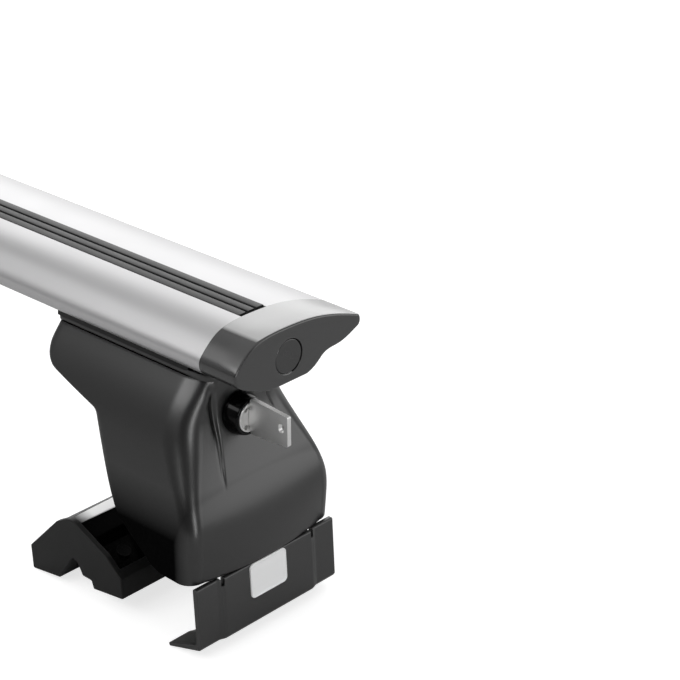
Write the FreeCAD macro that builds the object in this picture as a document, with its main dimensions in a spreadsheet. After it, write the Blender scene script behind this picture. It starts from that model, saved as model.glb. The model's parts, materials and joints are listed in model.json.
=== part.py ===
import FreeCAD, Part
import math
import os
import re
import Sketcher
from FreeCAD import Placement, Rotation, Vector

# Roof rack crossbar: one aluminium wing bar on two lockable clamp feet.
# Frame: X along the bar, Y from the wing's nose to its trailing edge, Z up, Z = 0 where the feet stand.
# The left foot, at +X, is modelled in a frame of its own and the right foot is its mirror image.
# Foot frame: u along X from the outer end of the seat, y across the bar, z over the standing plane.

os.makedirs("parts", exist_ok=True)
doc = FreeCAD.newDocument("RoofBar")

# Driving sizes in millimetres
SIZES = (
    ("bar_length", 1200.0, "over the outer faces of both end caps"),
    ("nose_reach", 33.5, "bar reference line to the wing's nose"),
    ("tip_reach", 47.0, "bar reference line to the trailing edge"),
    ("crown_rise", 14.75, "bar reference line to the top"),
    ("keel_drop", 13.0, "bar reference line to the flat underside"),
    ("stand_height", 144.8, "standing plane to the bar reference line"),
    ("bar_shift", 0.75, "bar reference line behind the middle of the frame"),
    ("foot_shift", 0.75, "foot's middle plane ahead of the middle of the frame"),
    ("bar_wall", 1.8, "outer wall of the extrusion"),
    ("core_half", 13.6, "half width of the solid core between the chambers"),
    ("core_bore", 2.5, "radius of the screw bore in the core"),
    ("slot_shift", 0.75, "top slot behind the bar reference line"),
    ("slot_half", 5.5, "half width of the top slot's mouth"),
    ("slot_room_half", 11.0, "half width of the top slot's inside"),
    ("slot_lip", 3.5, "depth from the crown to the inside of the top slot"),
    ("slot_floor", 10.1, "depth from the crown to the floor of the top slot"),
    ("strip_half", 7.75, "half width of the ribbed strip"),
    ("strip_seat", 1.7, "depth of the strip's seat under the crown"),
    ("strip_proud", 0.35, "strip's ribs over the crown"),
    ("strip_stop", 1.6, "strip's end short of the end cap"),
    ("strip_ease", 0.1, "clearance round the strip"),
    ("channel_half", 5.2, "half width of the bottom channel's mouth"),
    ("channel_room_half", 10.0, "half width of the bottom channel's inside"),
    ("channel_lip", 2.6, "thickness of the bottom channel's lips"),
    ("channel_roof", 8.8, "height of the bottom channel over the flat underside"),
    ("cap_length", 22.4, "end cap along the bar"),
    ("cap_wall", 2.4, "wall of the end cap"),
    ("cap_round", 1.2, "rounding of the end cap's outer edge"),
    ("spigot_length", 16.0, "end cap's spigots inside the bar"),
    ("spigot_ease", 0.2, "clearance round the spigots"),
    ("plug_radius", 8.2, "round plug in the end cap's face"),
    ("plug_depth", 3.0, "thickness of the plug"),
    ("plug_sunk", 0.3, "plug's face behind the end cap's face"),
    ("plug_groove", 0.3, "ring gap round the plug"),
    ("cap_screw_length", 42.0, "end cap's screw under its head"),
    ("cap_screw_radius", 2.4, "end cap's screw"),
    ("cap_screw_head", 5.2, "radius of the end cap's screw head"),
    ("cap_screw_head_depth", 3.2, "height of the end cap's screw head"),
    ("foot_inset", 29.0, "end cap's face to the foot's datum"),
    ("seat_drop", 17.0, "bar reference line to the top of the cover"),
    ("seat_length", 105.0, "seat along the bar"),
    ("seat_half", 19.0, "half width of the seat"),
    ("seat_plate", 2.2, "thickness of the seat plate"),
    ("seat_rim", 1.1, "rim round the seat plate's outer end"),
    ("seat_corner", 9.0, "corner radius of the seat plate's outer end"),
    ("gasket_stop", 15.0, "gasket's outer end behind the datum"),
    ("gasket_ease", 0.3, "gasket under the bar"),
    ("cover_bottom", 38.6, "standing plane to the cover's lower edge"),
    ("cover_wall", 2.5, "wall of the cover"),
    ("cover_top_half", 19.5, "half width of the cover at the top"),
    ("cover_foot_half", 47.0, "half width of the cover at the bottom"),
    ("cover_face_top", -3.0, "cover's outer face at the top, from the datum"),
    ("cover_face_foot", 16.4, "cover's outer face at the bottom, from the datum"),
    ("cover_bulge", 4.0, "crown of the cover's outer face at the bottom"),
    ("cover_corner", 8.0, "radius of the cover's upright corners"),
    ("arm_end_depth", 15.2, "cover's arm at its inner end"),
    ("arm_root_depth", 26.2, "cover's arm where the leg begins"),
    ("leg_inner_top", 62.8, "inner side of the cover's leg at the arm, inwards from the datum"),
    ("leg_inner_foot", 38.0, "inner side of the cover's leg at its foot, inwards from the datum"),
    ("leg_foot_rise", 18.8, "foot of the cover's inner side over the cover's lower edge"),
    ("bracket_ease", 5.2, "foot bracket inside the cover's outer face"),
    ("bracket_wall", 3.0, "sheet of the foot bracket"),
    ("bracket_half", 16.0, "half width of the foot bracket"),
    ("bracket_front", -16.0, "foot bracket's front wall, from the datum"),
    ("tbolt_outer", -36.0, "outer channel bolt, from the datum"),
    ("tbolt_pitch", 46.0, "spacing of the channel bolts"),
    ("tbolt_radius", 4.0, "channel bolt's shank"),
    ("tbolt_length", 21.5, "channel bolt under its head"),
    ("tbolt_head_half", 9.0, "half length of the channel bolt's head"),
    ("tbolt_head_side", 14.0, "channel bolt's head along the bar"),
    ("tbolt_head_depth", 4.5, "height of the channel bolt's head"),
    ("head_ease", 0.1, "channel bolt's head over the lips"),
    ("nut_flats", 13.0, "width of the nuts across their flats"),
    ("nut_depth", 6.5, "height of the nuts"),
    ("nut_ease", 0.05, "nut's bore round its bolt"),
    ("washer_radius", 8.0, "outside of the washers"),
    ("washer_depth", 1.6, "thickness of the washers"),
    ("bolt_height", 64.0, "standing plane to the clamp bolt"),
    ("bolt_radius", 4.0, "clamp bolt's shank"),
    ("bolt_length", 30.0, "clamp bolt under its head"),
    ("bolt_head_radius", 6.5, "clamp bolt's head"),
    ("bolt_head_depth", 5.5, "height of the clamp bolt's head"),
    ("bolt_hole_ease", 0.5, "clearance of the holes round the clamp bolt"),
    ("plate_wall", 3.0, "sheet of the clamp plate"),
    ("plate_half", 45.0, "half width of the clamp plate"),
    ("plate_face", 15.6, "clamp plate's outer face at its top, from the datum"),
    ("plate_lean", 1.6, "how far the clamp plate leans out towards its bottom"),
    ("plate_top", 38.2, "standing plane to the top of the clamp plate's tabs"),
    ("plate_knee", 6.3, "standing plane to the clamp plate's lower bend"),
    ("lip_reach", 21.6, "clamp plate's hooked lip, inwards"),
    ("lip_tip", 1.8, "thickness of the lip at its tip"),
    ("tab_width", 15.5, "each tab of the clamp plate"),
    ("joggle", 1.2, "tabs behind the clamp plate's middle"),
    ("tongue_half", 12.0, "half width of the clamp plate's tongue"),
    ("tongue_face", 0.0, "tongue's outer face, from the datum"),
    ("tongue_drop", 3.0, "tongue's bend below the top of the tabs"),
    ("tongue_top", 80.0, "standing plane to the tongue's top"),
    ("badge_width", 23.6, "blank badge across the clamp plate"),
    ("badge_height", 18.0, "blank badge up the clamp plate"),
    ("badge_shift", 1.0, "blank badge ahead of the foot's middle plane"),
    ("badge_depth", 0.8, "thickness of the blank badge"),
    ("badge_top", 38.0, "standing plane to the top of the badge"),
    ("lock_drop", 20.8, "top of the cover down to the lock's axis"),
    ("bezel_radius", 10.8, "lock's black bezel at the cover"),
    ("bezel_front_radius", 8.9, "lock's black bezel at its face"),
    ("bezel_face", 5.7, "bezel's face, from the datum"),
    ("bezel_depth", 7.9, "bezel in front of the cover"),
    ("sleeve_radius", 9.2, "lock's sleeve through the cover"),
    ("sleeve_depth", 22.0, "lock's sleeve behind the datum"),
    ("barrel_radius", 7.4, "lock's barrel"),
    ("cam_hook", 1.6, "how far the cam reaches down behind the bracket"),
    ("lock_ease", 0.08, "running clearance of the barrel"),
    ("barrel_proud", 0.3, "barrel's face in front of the bezel"),
    ("keyway_ease", 0.15, "clearance of the keyway round the key"),
    ("key_sheet", 2.3, "thickness of the key"),
    ("key_head_length", 24.0, "key's head outside the lock"),
    ("key_head_root", 18.2, "height of the key's head at the lock"),
    ("key_head_end", 15.1, "height of the key's head at its end"),
    ("key_head_lift", 1.0, "key's head higher than its blade"),
    ("key_blade", 8.0, "height of the key's blade"),
    ("key_blade_length", 19.0, "key's blade inside the barrel"),
    ("cam_reach", 22.0, "lock's cam from the axis"),
    ("cam_width", 8.0, "width of the lock's cam"),
    ("cam_sheet", 2.5, "thickness of the lock's cam"),
    ("pad_half", 44.0, "half width of the rubber pad"),
    ("pad_end_wall", 3.0, "end walls of the rubber pad"),
    ("pad_inner", -106.0, "rubber pad's inner edge, from the datum"),
    ("pad_width", 67.4, "rubber pad along the bar"),
    ("pad_height", 40.6, "standing plane to the ridge of the rubber pad"),
    ("rail_drop", 2.6, "ridge of the rail under the ridge of the pad's end walls"),
    ("rail_sheet", 2.6, "sheet of the base rail"),
    ("rail_screw_spread", 31.0, "base screws from the foot's middle plane"),
)

sheet = doc.addObject("Spreadsheet::Sheet", "Sizes")
for row, (alias, number, meaning) in enumerate(SIZES, start=1):
    sheet.set("A%d" % row, meaning)
    sheet.set("B%d" % row, str(number))
    sheet.setAlias("B%d" % row, alias)
doc.recompute()


def size(alias):
    """Value of one driving size, in millimetres."""
    return float(sheet.get(alias))


def bind(obj, **formulas):
    """Bind properties to formulas of the driving sizes; a double underscore stands for a dot."""
    for prop, formula in formulas.items():
        text = re.sub(r"\b[a-z]+(?:_[a-z]+)+\b", lambda word: "Sizes." + word.group(0), formula)
        obj.setExpression(prop.replace("__", "."), text)
    return obj


PARTS = []


def keep(obj, label):
    """Name a finished sub-part after its node."""
    obj.Label = label
    PARTS.append(obj)
    return obj


# Outlines and simple solids

PLANES = {
    "XY": Rotation(),
    "XZ": Rotation(Vector(1, 0, 0), 90),
    "YZ": Rotation(Vector(1, 1, 1), 120),
}


def rounded(corners):
    """Edges of a closed outline whose corners are (a, b, radius)."""
    count = len(corners)
    runs = []
    for index, (a, b, radius) in enumerate(corners):
        here = Vector(a, b, 0)
        before = Vector(corners[index - 1][0], corners[index - 1][1], 0)
        after = Vector(corners[(index + 1) % count][0], corners[(index + 1) % count][1], 0)
        if radius <= 0:
            runs.append((here, None, here))
            continue
        back = (before - here).normalize()
        ahead = (after - here).normalize()
        half_turn = back.getAngle(ahead) / 2
        reach = radius / math.tan(half_turn)
        inward = (back + ahead).normalize()
        middle = here + inward * (radius / math.sin(half_turn) - radius)
        runs.append((here + back * reach, middle, here + ahead * reach))
    edges = []
    for index, (start, middle, end) in enumerate(runs):
        if middle is not None:
            edges.append(Part.Arc(start, middle, end))
        following = runs[(index + 1) % count][0]
        if (following - end).Length > 1e-6:
            edges.append(Part.LineSegment(end, following))
    return edges


def sketch(name, plane, edges, height=0.0):
    """A sketch on a plane of the frame, lifted along the plane's normal."""
    made = doc.addObject("Sketcher::SketchObject", name)
    turn = PLANES[plane]
    made.Placement = Placement(turn.multVec(Vector(0, 0, height)), turn)
    made.addGeometry(edges, False)
    return made


def extrude(name, profile, length, symmetric=True):
    """A sketch pushed along its normal by a bound length."""
    made = doc.addObject("Part::Extrusion", name)
    made.Base = profile
    made.DirMode = "Normal"
    made.Solid = True
    made.Symmetric = symmetric
    return bind(made, LengthFwd=length)


def prism(name, plane, corners, length, symmetric=True):
    """A prism over a rounded outline."""
    return extrude(name, sketch(name + "_outline", plane, rounded(corners)), length, symmetric)


def box(name, length, width, height, x, y, z):
    """A box between bound sizes; x, y and z place its lowest corner."""
    made = doc.addObject("Part::Box", name)
    bind(made, Length=length, Width=width, Height=height)
    return bind(made, Placement__Base__x=x, Placement__Base__y=y, Placement__Base__z=z)


def rod(name, radius, length, x, y, z, axis="X"):
    """A cylinder along X or Z from a bound point."""
    made = doc.addObject("Part::Cylinder", name)
    if axis == "X":
        made.Placement = Placement(Vector(), Rotation(Vector(0, 1, 0), 90))
    bind(made, Radius=radius, Height=length)
    return bind(made, Placement__Base__x=x, Placement__Base__y=y, Placement__Base__z=z)


def cut(name, base, *tools):
    """The base with every tool taken out of it."""
    tool = tools[0] if len(tools) == 1 else fuse(name + "_tools", *tools)
    made = doc.addObject("Part::Cut", name)
    made.Base = base
    made.Tool = tool
    return made


def fuse(name, *shapes):
    """One solid from several that meet."""
    made = doc.addObject("Part::MultiFuse", name)
    made.Shapes = list(shapes)
    made.Refine = True
    return made


def common(name, *shapes):
    """What several solids share."""
    made = doc.addObject("Part::MultiCommon", name)
    made.Shapes = list(shapes)
    return made


# Bodies with sketches of their own

def origin_plane(body, role):
    """One of a body's own base planes."""
    for feature in body.Origin.OriginFeatures:
        if feature.Role == role:
            return feature
    raise ValueError(role)


def body_sketch(body, name, role, edges):
    """A sketch attached to a base plane of its own body."""
    made = body.newObject("Sketcher::SketchObject", name)
    made.AttachmentSupport = [(origin_plane(body, role), "")]
    made.MapMode = "FlatFace"
    made.addGeometry(edges, False)
    return made


def pad(body, name, profile, length, midplane=False):
    """A pad of a sketch by a bound length."""
    made = body.newObject("PartDesign::Pad", name)
    made.Profile = profile
    made.Midplane = midplane
    return bind(made, Length=length)


def pocket_through(body, name, profile):
    """A pocket of a sketch through the whole body, both ways."""
    made = body.newObject("PartDesign::Pocket", name)
    made.Profile = profile
    made.Type = "ThroughAll"
    made.Midplane = True
    return made


def ring(name, outer, inner, length):
    """A round disc with a round bore, as a body that stands on its XY plane."""
    body = doc.addObject("PartDesign::Body", name)
    centre = Vector(0, 0, 0)
    normal = Vector(0, 0, 1)
    edges = [Part.Circle(centre, normal, 1.0 + place) for place in range(2 if inner else 1)]
    profile = body_sketch(body, name + "_profile", "XY_Plane", edges)
    for place, radius in enumerate([outer, inner] if inner else [outer]):
        profile.addConstraint(Sketcher.Constraint("Coincident", place, 3, -1, 1))
        index = profile.addConstraint(Sketcher.Constraint("Radius", place, 10.0 - 5.0 * place))
        bind(profile, **{"Constraints[%d]" % index: radius})
    pad(body, name + "_pad", profile, length)
    return body


def hexagon(flats, centre=(0.0, 0.0)):
    """Edges of a hexagon by its width across flats."""
    radius = flats / math.sqrt(3)
    corners = []
    for step in range(6):
        turn = math.radians(60 * step)
        corners.append((centre[0] + radius * math.cos(turn), centre[1] + radius * math.sin(turn), 0))
    return rounded(corners)


FOOT_Y = "-foot_shift"
FOOT_X = "bar_length / 2 - foot_inset"


def place_foot(obj):
    """Move a piece from the foot's frame to its place under the bar."""
    return bind(obj, Placement__Base__x=FOOT_X, Placement__Base__y=FOOT_Y)


# Wing section: smooth stretches through a few stations, as shares of the reaches

def wing_outline(inset=0.0):
    """Edges of the bar's outer section about the bar reference line, moved inwards by an inset."""
    nose, tip = size("nose_reach"), size("tip_reach")
    crown, keel = size("crown_rise"), size("keel_drop")
    top = (
        (-1.0, 0.048), (-0.901, 0.408), (-0.648, 0.837), (-0.351, 0.985), (0.0, 1.0),
        (0.334, 0.929), (0.683, 0.678), (0.966, 0.359),
    )
    end = ((0.966, 0.359), (1.0, 0.163), (0.962, -0.069))
    rear = (
        (0.962, -0.069), (0.715, -0.388), (0.481, -0.531), (0.404, -0.738), (0.306, -0.938), (0.235, -1.0),
    )
    front = (
        (-0.27, -1.0), (-0.475, -0.908), (-0.663, -0.723), (-0.83, -0.519), (-0.955, -0.285), (-1.0, 0.048),
    )
    up, inward = Vector(0, 1, 0), Vector(-1, 0, 0)
    down_back, back_under = Vector(0.93, -0.36, 0), Vector(-0.92, -0.38, 0)

    def smooth(shares, first, last):
        points = [Vector(a * (tip if a > 0 else nose), b * (keel if b < 0 else crown), 0) for a, b in shares]
        curve = Part.BSplineCurve()
        curve.interpolate(points, InitialTangent=first, FinalTangent=last)
        if not inset:
            return curve
        moved = []
        steps = 3 * len(points)
        for step in range(steps + 1):
            place = curve.FirstParameter + (curve.LastParameter - curve.FirstParameter) * step / steps
            along = curve.tangent(place)[0]
            moved.append(curve.value(place) + Vector(along.y, -along.x, 0) * inset)
        inner = Part.BSplineCurve()
        inner.interpolate(moved)
        return inner

    rear_curve = smooth(rear, back_under, inward)
    front_curve = smooth(front, inward, up)
    flat = Part.LineSegment(rear_curve.EndPoint, front_curve.StartPoint)
    return [smooth(top, up, down_back), smooth(end, down_back, back_under), rear_curve, flat, front_curve]


def wing_line(upper, first, last, inset, count=12):
    """Points on the wing's upper or lower line between two Y places, moved inwards by an inset."""
    top, _, rear, flat, front = wing_outline()
    trail = []
    for curve in ([top] if upper else [front, flat, rear]):
        trail += curve.toShape().discretize(60)
    trail.sort(key=lambda point: point.x)
    moved = []
    for before, here, after in zip(trail, trail[1:], trail[2:]):
        along = after - before
        if along.Length < 1e-6:
            continue
        normal = Vector(along.y, -along.x, 0).normalize() * (1 if upper else -1)
        moved.append(here + normal * inset)
    moved.sort(key=lambda point: point.x)
    points = []
    for step in range(count + 1):
        across = first + (last - first) * step / count
        for left, right in zip(moved, moved[1:]):
            if left.x <= across <= right.x and right.x > left.x:
                share = (across - left.x) / (right.x - left.x)
                points.append((across, left.y + share * (right.y - left.y), 0))
                break
    return points


def chamber(inset, place):
    """Outline of the front or rear chamber inside the wing's wall, for a bound wall and core."""
    core = size("core_half") + inset - size("bar_wall")
    if place == "front":
        first, last = 4.0 + inset - size("nose_reach"), -core
    else:
        first, last = core, size("tip_reach") - 9.0 - inset
    return wing_line(True, first, last, inset) + wing_line(False, first, last, inset)[::-1]


wing = sketch("wing_section", "YZ", wing_outline())

BAR_SPAN = "bar_length - 2 * cap_length"


def place_bar(obj):
    """Move a piece from the bar's own reference line to its place."""
    return bind(obj, Placement__Base__y="bar_shift", Placement__Base__z="stand_height")


def make_bar():
    """Wing bar: two chambers, a core with a screw bore, a slot on top and a channel below."""
    blank = extrude("bar_blank", wing, BAR_SPAN)
    wall = size("bar_wall")
    rooms = []
    for place in ("front", "rear"):
        rooms.append(prism("bar_room_" + place, "YZ", chamber(wall, place), "bar_length"))
    bore = rod("bar_bore", "core_bore", "bar_length", "-bar_length / 2", "0", "0")
    slot_mouth = box("slot_mouth", "bar_length", "2 * slot_half", "slot_floor",
                     "-bar_length / 2", "slot_shift - slot_half", "crown_rise - slot_lip - 1")
    slot_room = box("slot_room", "bar_length", "2 * slot_room_half", "slot_floor - slot_lip",
                    "-bar_length / 2", "slot_shift - slot_room_half", "crown_rise - slot_floor")
    strip_seat = box("strip_seat_cut", "bar_length", "2 * (strip_half + strip_ease)", "strip_seat + 2",
                     "-bar_length / 2", "slot_shift - strip_half - strip_ease", "crown_rise - strip_seat")
    channel_mouth = box("channel_mouth", "bar_length", "2 * channel_half", "channel_lip + 2",
                        "-bar_length / 2", "-bar_shift - foot_shift - channel_half", "-keel_drop - 1")
    channel_room = box("channel_room", "bar_length", "2 * channel_room_half", "channel_roof - channel_lip",
                       "-bar_length / 2", "-bar_shift - foot_shift - channel_room_half",
                       "-keel_drop + channel_lip")
    bar = cut("bar_cut", blank, *rooms, bore, slot_mouth, slot_room, strip_seat, channel_mouth, channel_room)
    keep(place_bar(bar), "wing_bar")


def make_strip():
    """Rubber strip: three ribs on a flange, a neck through the slot and a barbed foot under its lips."""
    half, ease = size("strip_half"), size("strip_ease")
    crown = size("crown_rise")
    mouth, room = size("slot_half") - ease, size("slot_half") + 2.2
    flange = crown - size("strip_seat") + ease
    lips = crown - size("slot_lip") - ease
    rib_top = crown + size("strip_proud")
    groove_floor = crown - 0.7
    groove_half = 0.55
    third = 2 * half / 3
    corners = [(-half, flange, 0), (-half, rib_top, 0.4)]
    for groove in (-half + third, half - third):
        corners += [(groove - groove_half, rib_top, 0.3), (groove - groove_half, groove_floor, 0)]
        corners += [(groove + groove_half, groove_floor, 0), (groove + groove_half, rib_top, 0.3)]
    corners += [(half, rib_top, 0.4), (half, flange, 0), (mouth, flange, 0), (mouth, lips, 0)]
    corners += [(room, lips, 0), (mouth - 1.2, lips - 2.6, 0), (1.2 - mouth, lips - 2.6, 0)]
    corners += [(-room, lips, 0), (-mouth, lips, 0), (-mouth, flange, 0)]
    strip = prism("strip_body", "YZ", corners, BAR_SPAN + " - 2 * strip_stop")
    bind(strip, Placement__Base__y="bar_shift + slot_shift", Placement__Base__z="stand_height")
    keep(strip, "top_strip")


def make_cap():
    """Left end cap: a hollow moulding with two spigots, a screw hole and a round recess for its plug."""
    round_off = size("cap_round")
    levels = []
    for step, back in enumerate((None, 1.0, 0.5, 0.13, 0.0)):
        sunk = 0.0 if back is None else round_off * (1 - math.sqrt(1 - (1 - back) ** 2))
        level = sketch("cap_level_%d" % step, "YZ", wing_outline(sunk))
        if back is None:
            bind(level, Placement__Base__x="bar_length / 2 - cap_length")
        else:
            bind(level, Placement__Base__x="bar_length / 2 - cap_round * %s" % back)
        levels.append(level)
    rounded_shell = doc.addObject("Part::Loft", "cap_rounded")
    rounded_shell.Sections = levels
    rounded_shell.Solid = True
    rounded_shell.Ruled = True
    wall, ease = size("bar_wall"), size("spigot_ease")
    spigots, rooms = [], []
    for place in ("front", "rear"):
        spigot = extrude("cap_spigot_" + place, sketch("cap_spigot_%s_outline" % place, "YZ",
                         rounded(chamber(wall + ease, place))), "spigot_length + 2", False)
        room = extrude("cap_room_" + place, sketch("cap_room_%s_outline" % place, "YZ",
                       rounded(chamber(wall + ease + size("cap_wall"), place))),
                       "spigot_length + cap_length - cap_wall", False)
        for made in (spigot, room):
            bind(made, Placement__Base__x="bar_length / 2 - cap_length - spigot_length")
        spigots.append(spigot)
        rooms.append(room)
    hole = rod("cap_hole", "cap_screw_radius + spigot_ease", "cap_length + 2",
               "bar_length / 2 - cap_length - 1", "0", "0")
    head_room = "cap_screw_head_depth + plug_depth + plug_sunk + spigot_ease"
    counterbore = rod("cap_counterbore", "cap_screw_head + spigot_ease", head_room,
                      "bar_length / 2 - (" + head_room + ")", "0", "0")
    recess = rod("cap_recess", "plug_radius + plug_groove", "plug_depth + plug_sunk",
                 "bar_length / 2 - plug_depth - plug_sunk", "0", "0")
    cap = cut("cap_cut", fuse("cap_solid", rounded_shell, *spigots), *rooms, hole, counterbore, recess)
    return keep(place_bar(cap), "left_end_cap")


def make_plug():
    """Round plug that hides the end cap's screw."""
    body = ring("plug_body", "plug_radius", "", "plug_depth")
    body.Placement = Placement(Vector(), Rotation(Vector(0, 1, 0), 90))
    bind(body, Placement__Base__x="bar_length / 2 - plug_sunk - plug_depth",
         Placement__Base__y="bar_shift", Placement__Base__z="stand_height")
    return keep(body, "left_cap_plug")


def make_cap_screw():
    """Screw that pulls the end cap onto the bar's core."""
    head = rod("cap_screw_head_disc", "cap_screw_head", "cap_screw_head_depth",
               "bar_length / 2 - cap_screw_head_depth - plug_depth - plug_sunk", "0", "0")
    shank = rod("cap_screw_shank", "cap_screw_radius", "cap_screw_length + 1",
                "bar_length / 2 - cap_screw_head_depth - plug_depth - plug_sunk - cap_screw_length", "0", "0")
    screw = fuse("cap_screw_solid", head, shank)
    return keep(place_bar(screw), "left_cap_screw")


# Foot pieces, each in the foot's frame first

COVER_TOP = "stand_height - seat_drop"
LOCK_Z = "stand_height - seat_drop - lock_drop"


def make_seat():
    """Moulded seat plate on the cover, with a rim round its outer end."""
    top = size("stand_height") - size("seat_drop")
    half, corner = size("seat_half"), size("seat_corner")
    inner, outer = -size("seat_length"), 0.0
    outline = [(inner, -half, 1.5), (outer, -half, corner), (outer, half, corner), (inner, half, 1.5)]
    plate = extrude("seat_plate_solid", sketch("seat_outline", "XY", rounded(outline), top),
                    "seat_plate", False)
    rim_blank = extrude("seat_rim_solid", sketch("seat_rim_outline", "XY", rounded(outline), top),
                        "seat_plate + seat_rim", False)
    wall = 1.6
    hollow = [(inner - wall, -half + wall, 1), (outer - wall, -half + wall, corner - wall),
              (outer - wall, half - wall, corner - wall), (inner - wall, half - wall, 1)]
    rim_hollow = extrude("seat_rim_hollow", sketch("seat_rim_inside", "XY", rounded(hollow), top),
                         "seat_plate + seat_rim + 1", False)
    inboard = box("seat_rim_end", "seat_length", "4 * seat_half", "seat_plate + seat_rim + 1",
                  "-seat_length - gasket_stop", "-2 * seat_half", COVER_TOP)
    rim = cut("seat_rim_ring", rim_blank, rim_hollow, inboard)
    holes = channel_bolt_holes("seat")
    seat = cut("seat_cut", fuse("seat_solid", plate, rim), *holes)
    return keep(place_foot(seat), "left_bar_seat")


def channel_bolt_holes(owner):
    """Clearance holes for the two channel bolts, through all that lies under the bar."""
    holes = []
    for place in range(2):
        holes.append(rod("%s_bolt_hole_%d" % (owner, place), "tbolt_radius + bolt_hole_ease", "60",
                         "tbolt_outer - %d * tbolt_pitch" % place, "0", COVER_TOP + " - 20", "Z"))
    return holes


def make_gasket():
    """Rubber gasket between the seat plate and the bar, shaped to the bar's underside."""
    half, drop = size("seat_half"), size("bar_shift") + size("foot_shift")
    under = wing_line(False, -half - drop, half - drop, -size("gasket_ease"))
    plate_top = size("seat_plate") - size("seat_drop")
    outline = under + [(half - drop, plate_top, 0), (-half - drop, plate_top, 0)]
    profile = sketch("gasket_section", "YZ", rounded(outline))
    block = extrude("gasket_block", profile, "seat_length - gasket_stop", False)
    bind(block, Placement__Base__x="-seat_length", Placement__Base__y="bar_shift + foot_shift",
         Placement__Base__z="stand_height")
    gasket = cut("gasket_cut", block, *channel_bolt_holes("gasket"))
    return keep(place_foot(gasket), "left_bar_gasket")


# Cover: shares of its height, of its face's lean, of its crown and of its widening, from top to bottom
COVER_STATIONS = (
    (1.000, 0.00, 0.25, 0.00), (0.890, 0.02, 0.30, 0.30), (0.787, 0.06, 0.40, 0.51),
    (0.655, 0.25, 0.40, 0.67), (0.541, 0.47, 0.40, 0.78), (0.406, 0.75, 0.45, 0.90),
    (0.300, 0.92, 0.50, 0.97), (0.180, 1.00, 0.80, 1.00), (0.000, 0.98, 1.05, 1.00),
)


def cover_section(name, share, lean, crown, width, shrink):
    """One level outline of the cover: crowned outer face, round corners, straight sides."""
    bottom, top = size("cover_bottom"), size("stand_height") - size("seat_drop")
    face = size("cover_face_top") + lean * (size("cover_face_foot") - size("cover_face_top")) - shrink
    corner_face = face - crown * size("cover_bulge")
    half = size("cover_top_half") + width * (size("cover_foot_half") - size("cover_top_half")) - shrink
    radius = size("cover_corner") - 0.6 * shrink
    inner = -1.4 * size("seat_length")
    slant = radius * (1 - math.sqrt(0.5))
    edges = [
        Part.LineSegment(Vector(inner, half, 0), Vector(inner, -half, 0)),
        Part.LineSegment(Vector(inner, -half, 0), Vector(corner_face - radius, -half, 0)),
        Part.Arc(Vector(corner_face - radius, -half, 0), Vector(corner_face - slant, slant - half, 0),
                 Vector(corner_face, radius - half, 0)),
        Part.Arc(Vector(corner_face, radius - half, 0), Vector(face, 0, 0),
                 Vector(corner_face, half - radius, 0)),
        Part.Arc(Vector(corner_face, half - radius, 0), Vector(corner_face - slant, half - slant, 0),
                 Vector(corner_face - radius, half, 0)),
        Part.LineSegment(Vector(corner_face - radius, half, 0), Vector(inner, half, 0)),
    ]
    return sketch(name, "XY", edges, bottom + share * (top - bottom))


def cover_loft(name, shrink):
    """The cover's flared body through all its level outlines."""
    made = doc.addObject("Part::Loft", name)
    sections = []
    for place, station in enumerate(COVER_STATIONS):
        sections.append(cover_section("%s_level_%d" % (name, place), *station, shrink))
    made.Sections = sections
    made.Solid = True
    made.Ruled = False
    return made


def cover_side_corners(shrink):
    """Side outline of the cover: arm under the bar, leg and slanted lower edge; open below if shrunk."""
    top = size("stand_height") - size("seat_drop")
    bottom = size("cover_bottom")
    arm_end = 0.5 - size("seat_length") + shrink
    leg_top = (1.2 * shrink - size("leg_inner_top"), top - size("arm_root_depth") + shrink)
    leg_foot = (1.15 * shrink - size("leg_inner_foot"), bottom + size("leg_foot_rise"))
    face = size("cover_face_foot")
    corners = [(arm_end, top, 0), (arm_end, top - size("arm_end_depth") + shrink, 12 - shrink)]
    corners += [(leg_top[0], leg_top[1], 7)]
    if shrink:
        slope = (leg_foot[0] - leg_top[0]) / (leg_foot[1] - leg_top[1])
        corners += [(leg_foot[0] + slope * (bottom - 10 - leg_foot[1]), bottom - 10, 0)]
        corners += [(face + 20, bottom - 10, 0)]
    else:
        corners += [(leg_foot[0], leg_foot[1], 8), (face - 29.4, bottom + 1.8, 20), (face, bottom, 0)]
        corners += [(face + 20, bottom, 0)]
    return corners + [(face + 20, top, 0)]


def make_cover():
    """Outer cover: a thin moulding, open at the top and the bottom, round the foot's steelwork."""
    wall = size("cover_wall")
    side = prism("cover_side", "XZ", cover_side_corners(0), "4 * cover_foot_half")
    side_room = prism("cover_side_room", "XZ", cover_side_corners(wall), "4 * cover_foot_half")
    shell = common("cover_shell", cover_loft("cover_body", 0), side)
    room = common("cover_room", cover_loft("cover_inside", wall), side_room)
    walls = cut("cover_walls", shell, room)
    boss_rod = rod("cover_boss_rod", "sleeve_radius + 4.5", "40", "cover_face_top - cover_wall - 0.6", "0",
                   LOCK_Z)
    boss = common("cover_boss", boss_rod, shell)
    hole = rod("cover_lock_hole", "sleeve_radius + lock_ease", "60", "-sleeve_depth", "0", LOCK_Z)
    seat = rod("cover_lock_seat", "bezel_radius + lock_ease", "60", "bezel_face - bezel_depth - lock_ease",
               "0", LOCK_Z)
    cover = cut("cover_cut", fuse("cover_solid", walls, boss), hole, seat)
    return keep(place_foot(cover), "left_foot_cover")


def pad_points(shares):
    """Points of the pad's section from shares of its width and its height."""
    inner, width, height = size("pad_inner"), size("pad_width"), size("pad_height")
    return [(inner + across * width, up * height) + tuple(rest) for across, up, *rest in shares]


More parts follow.
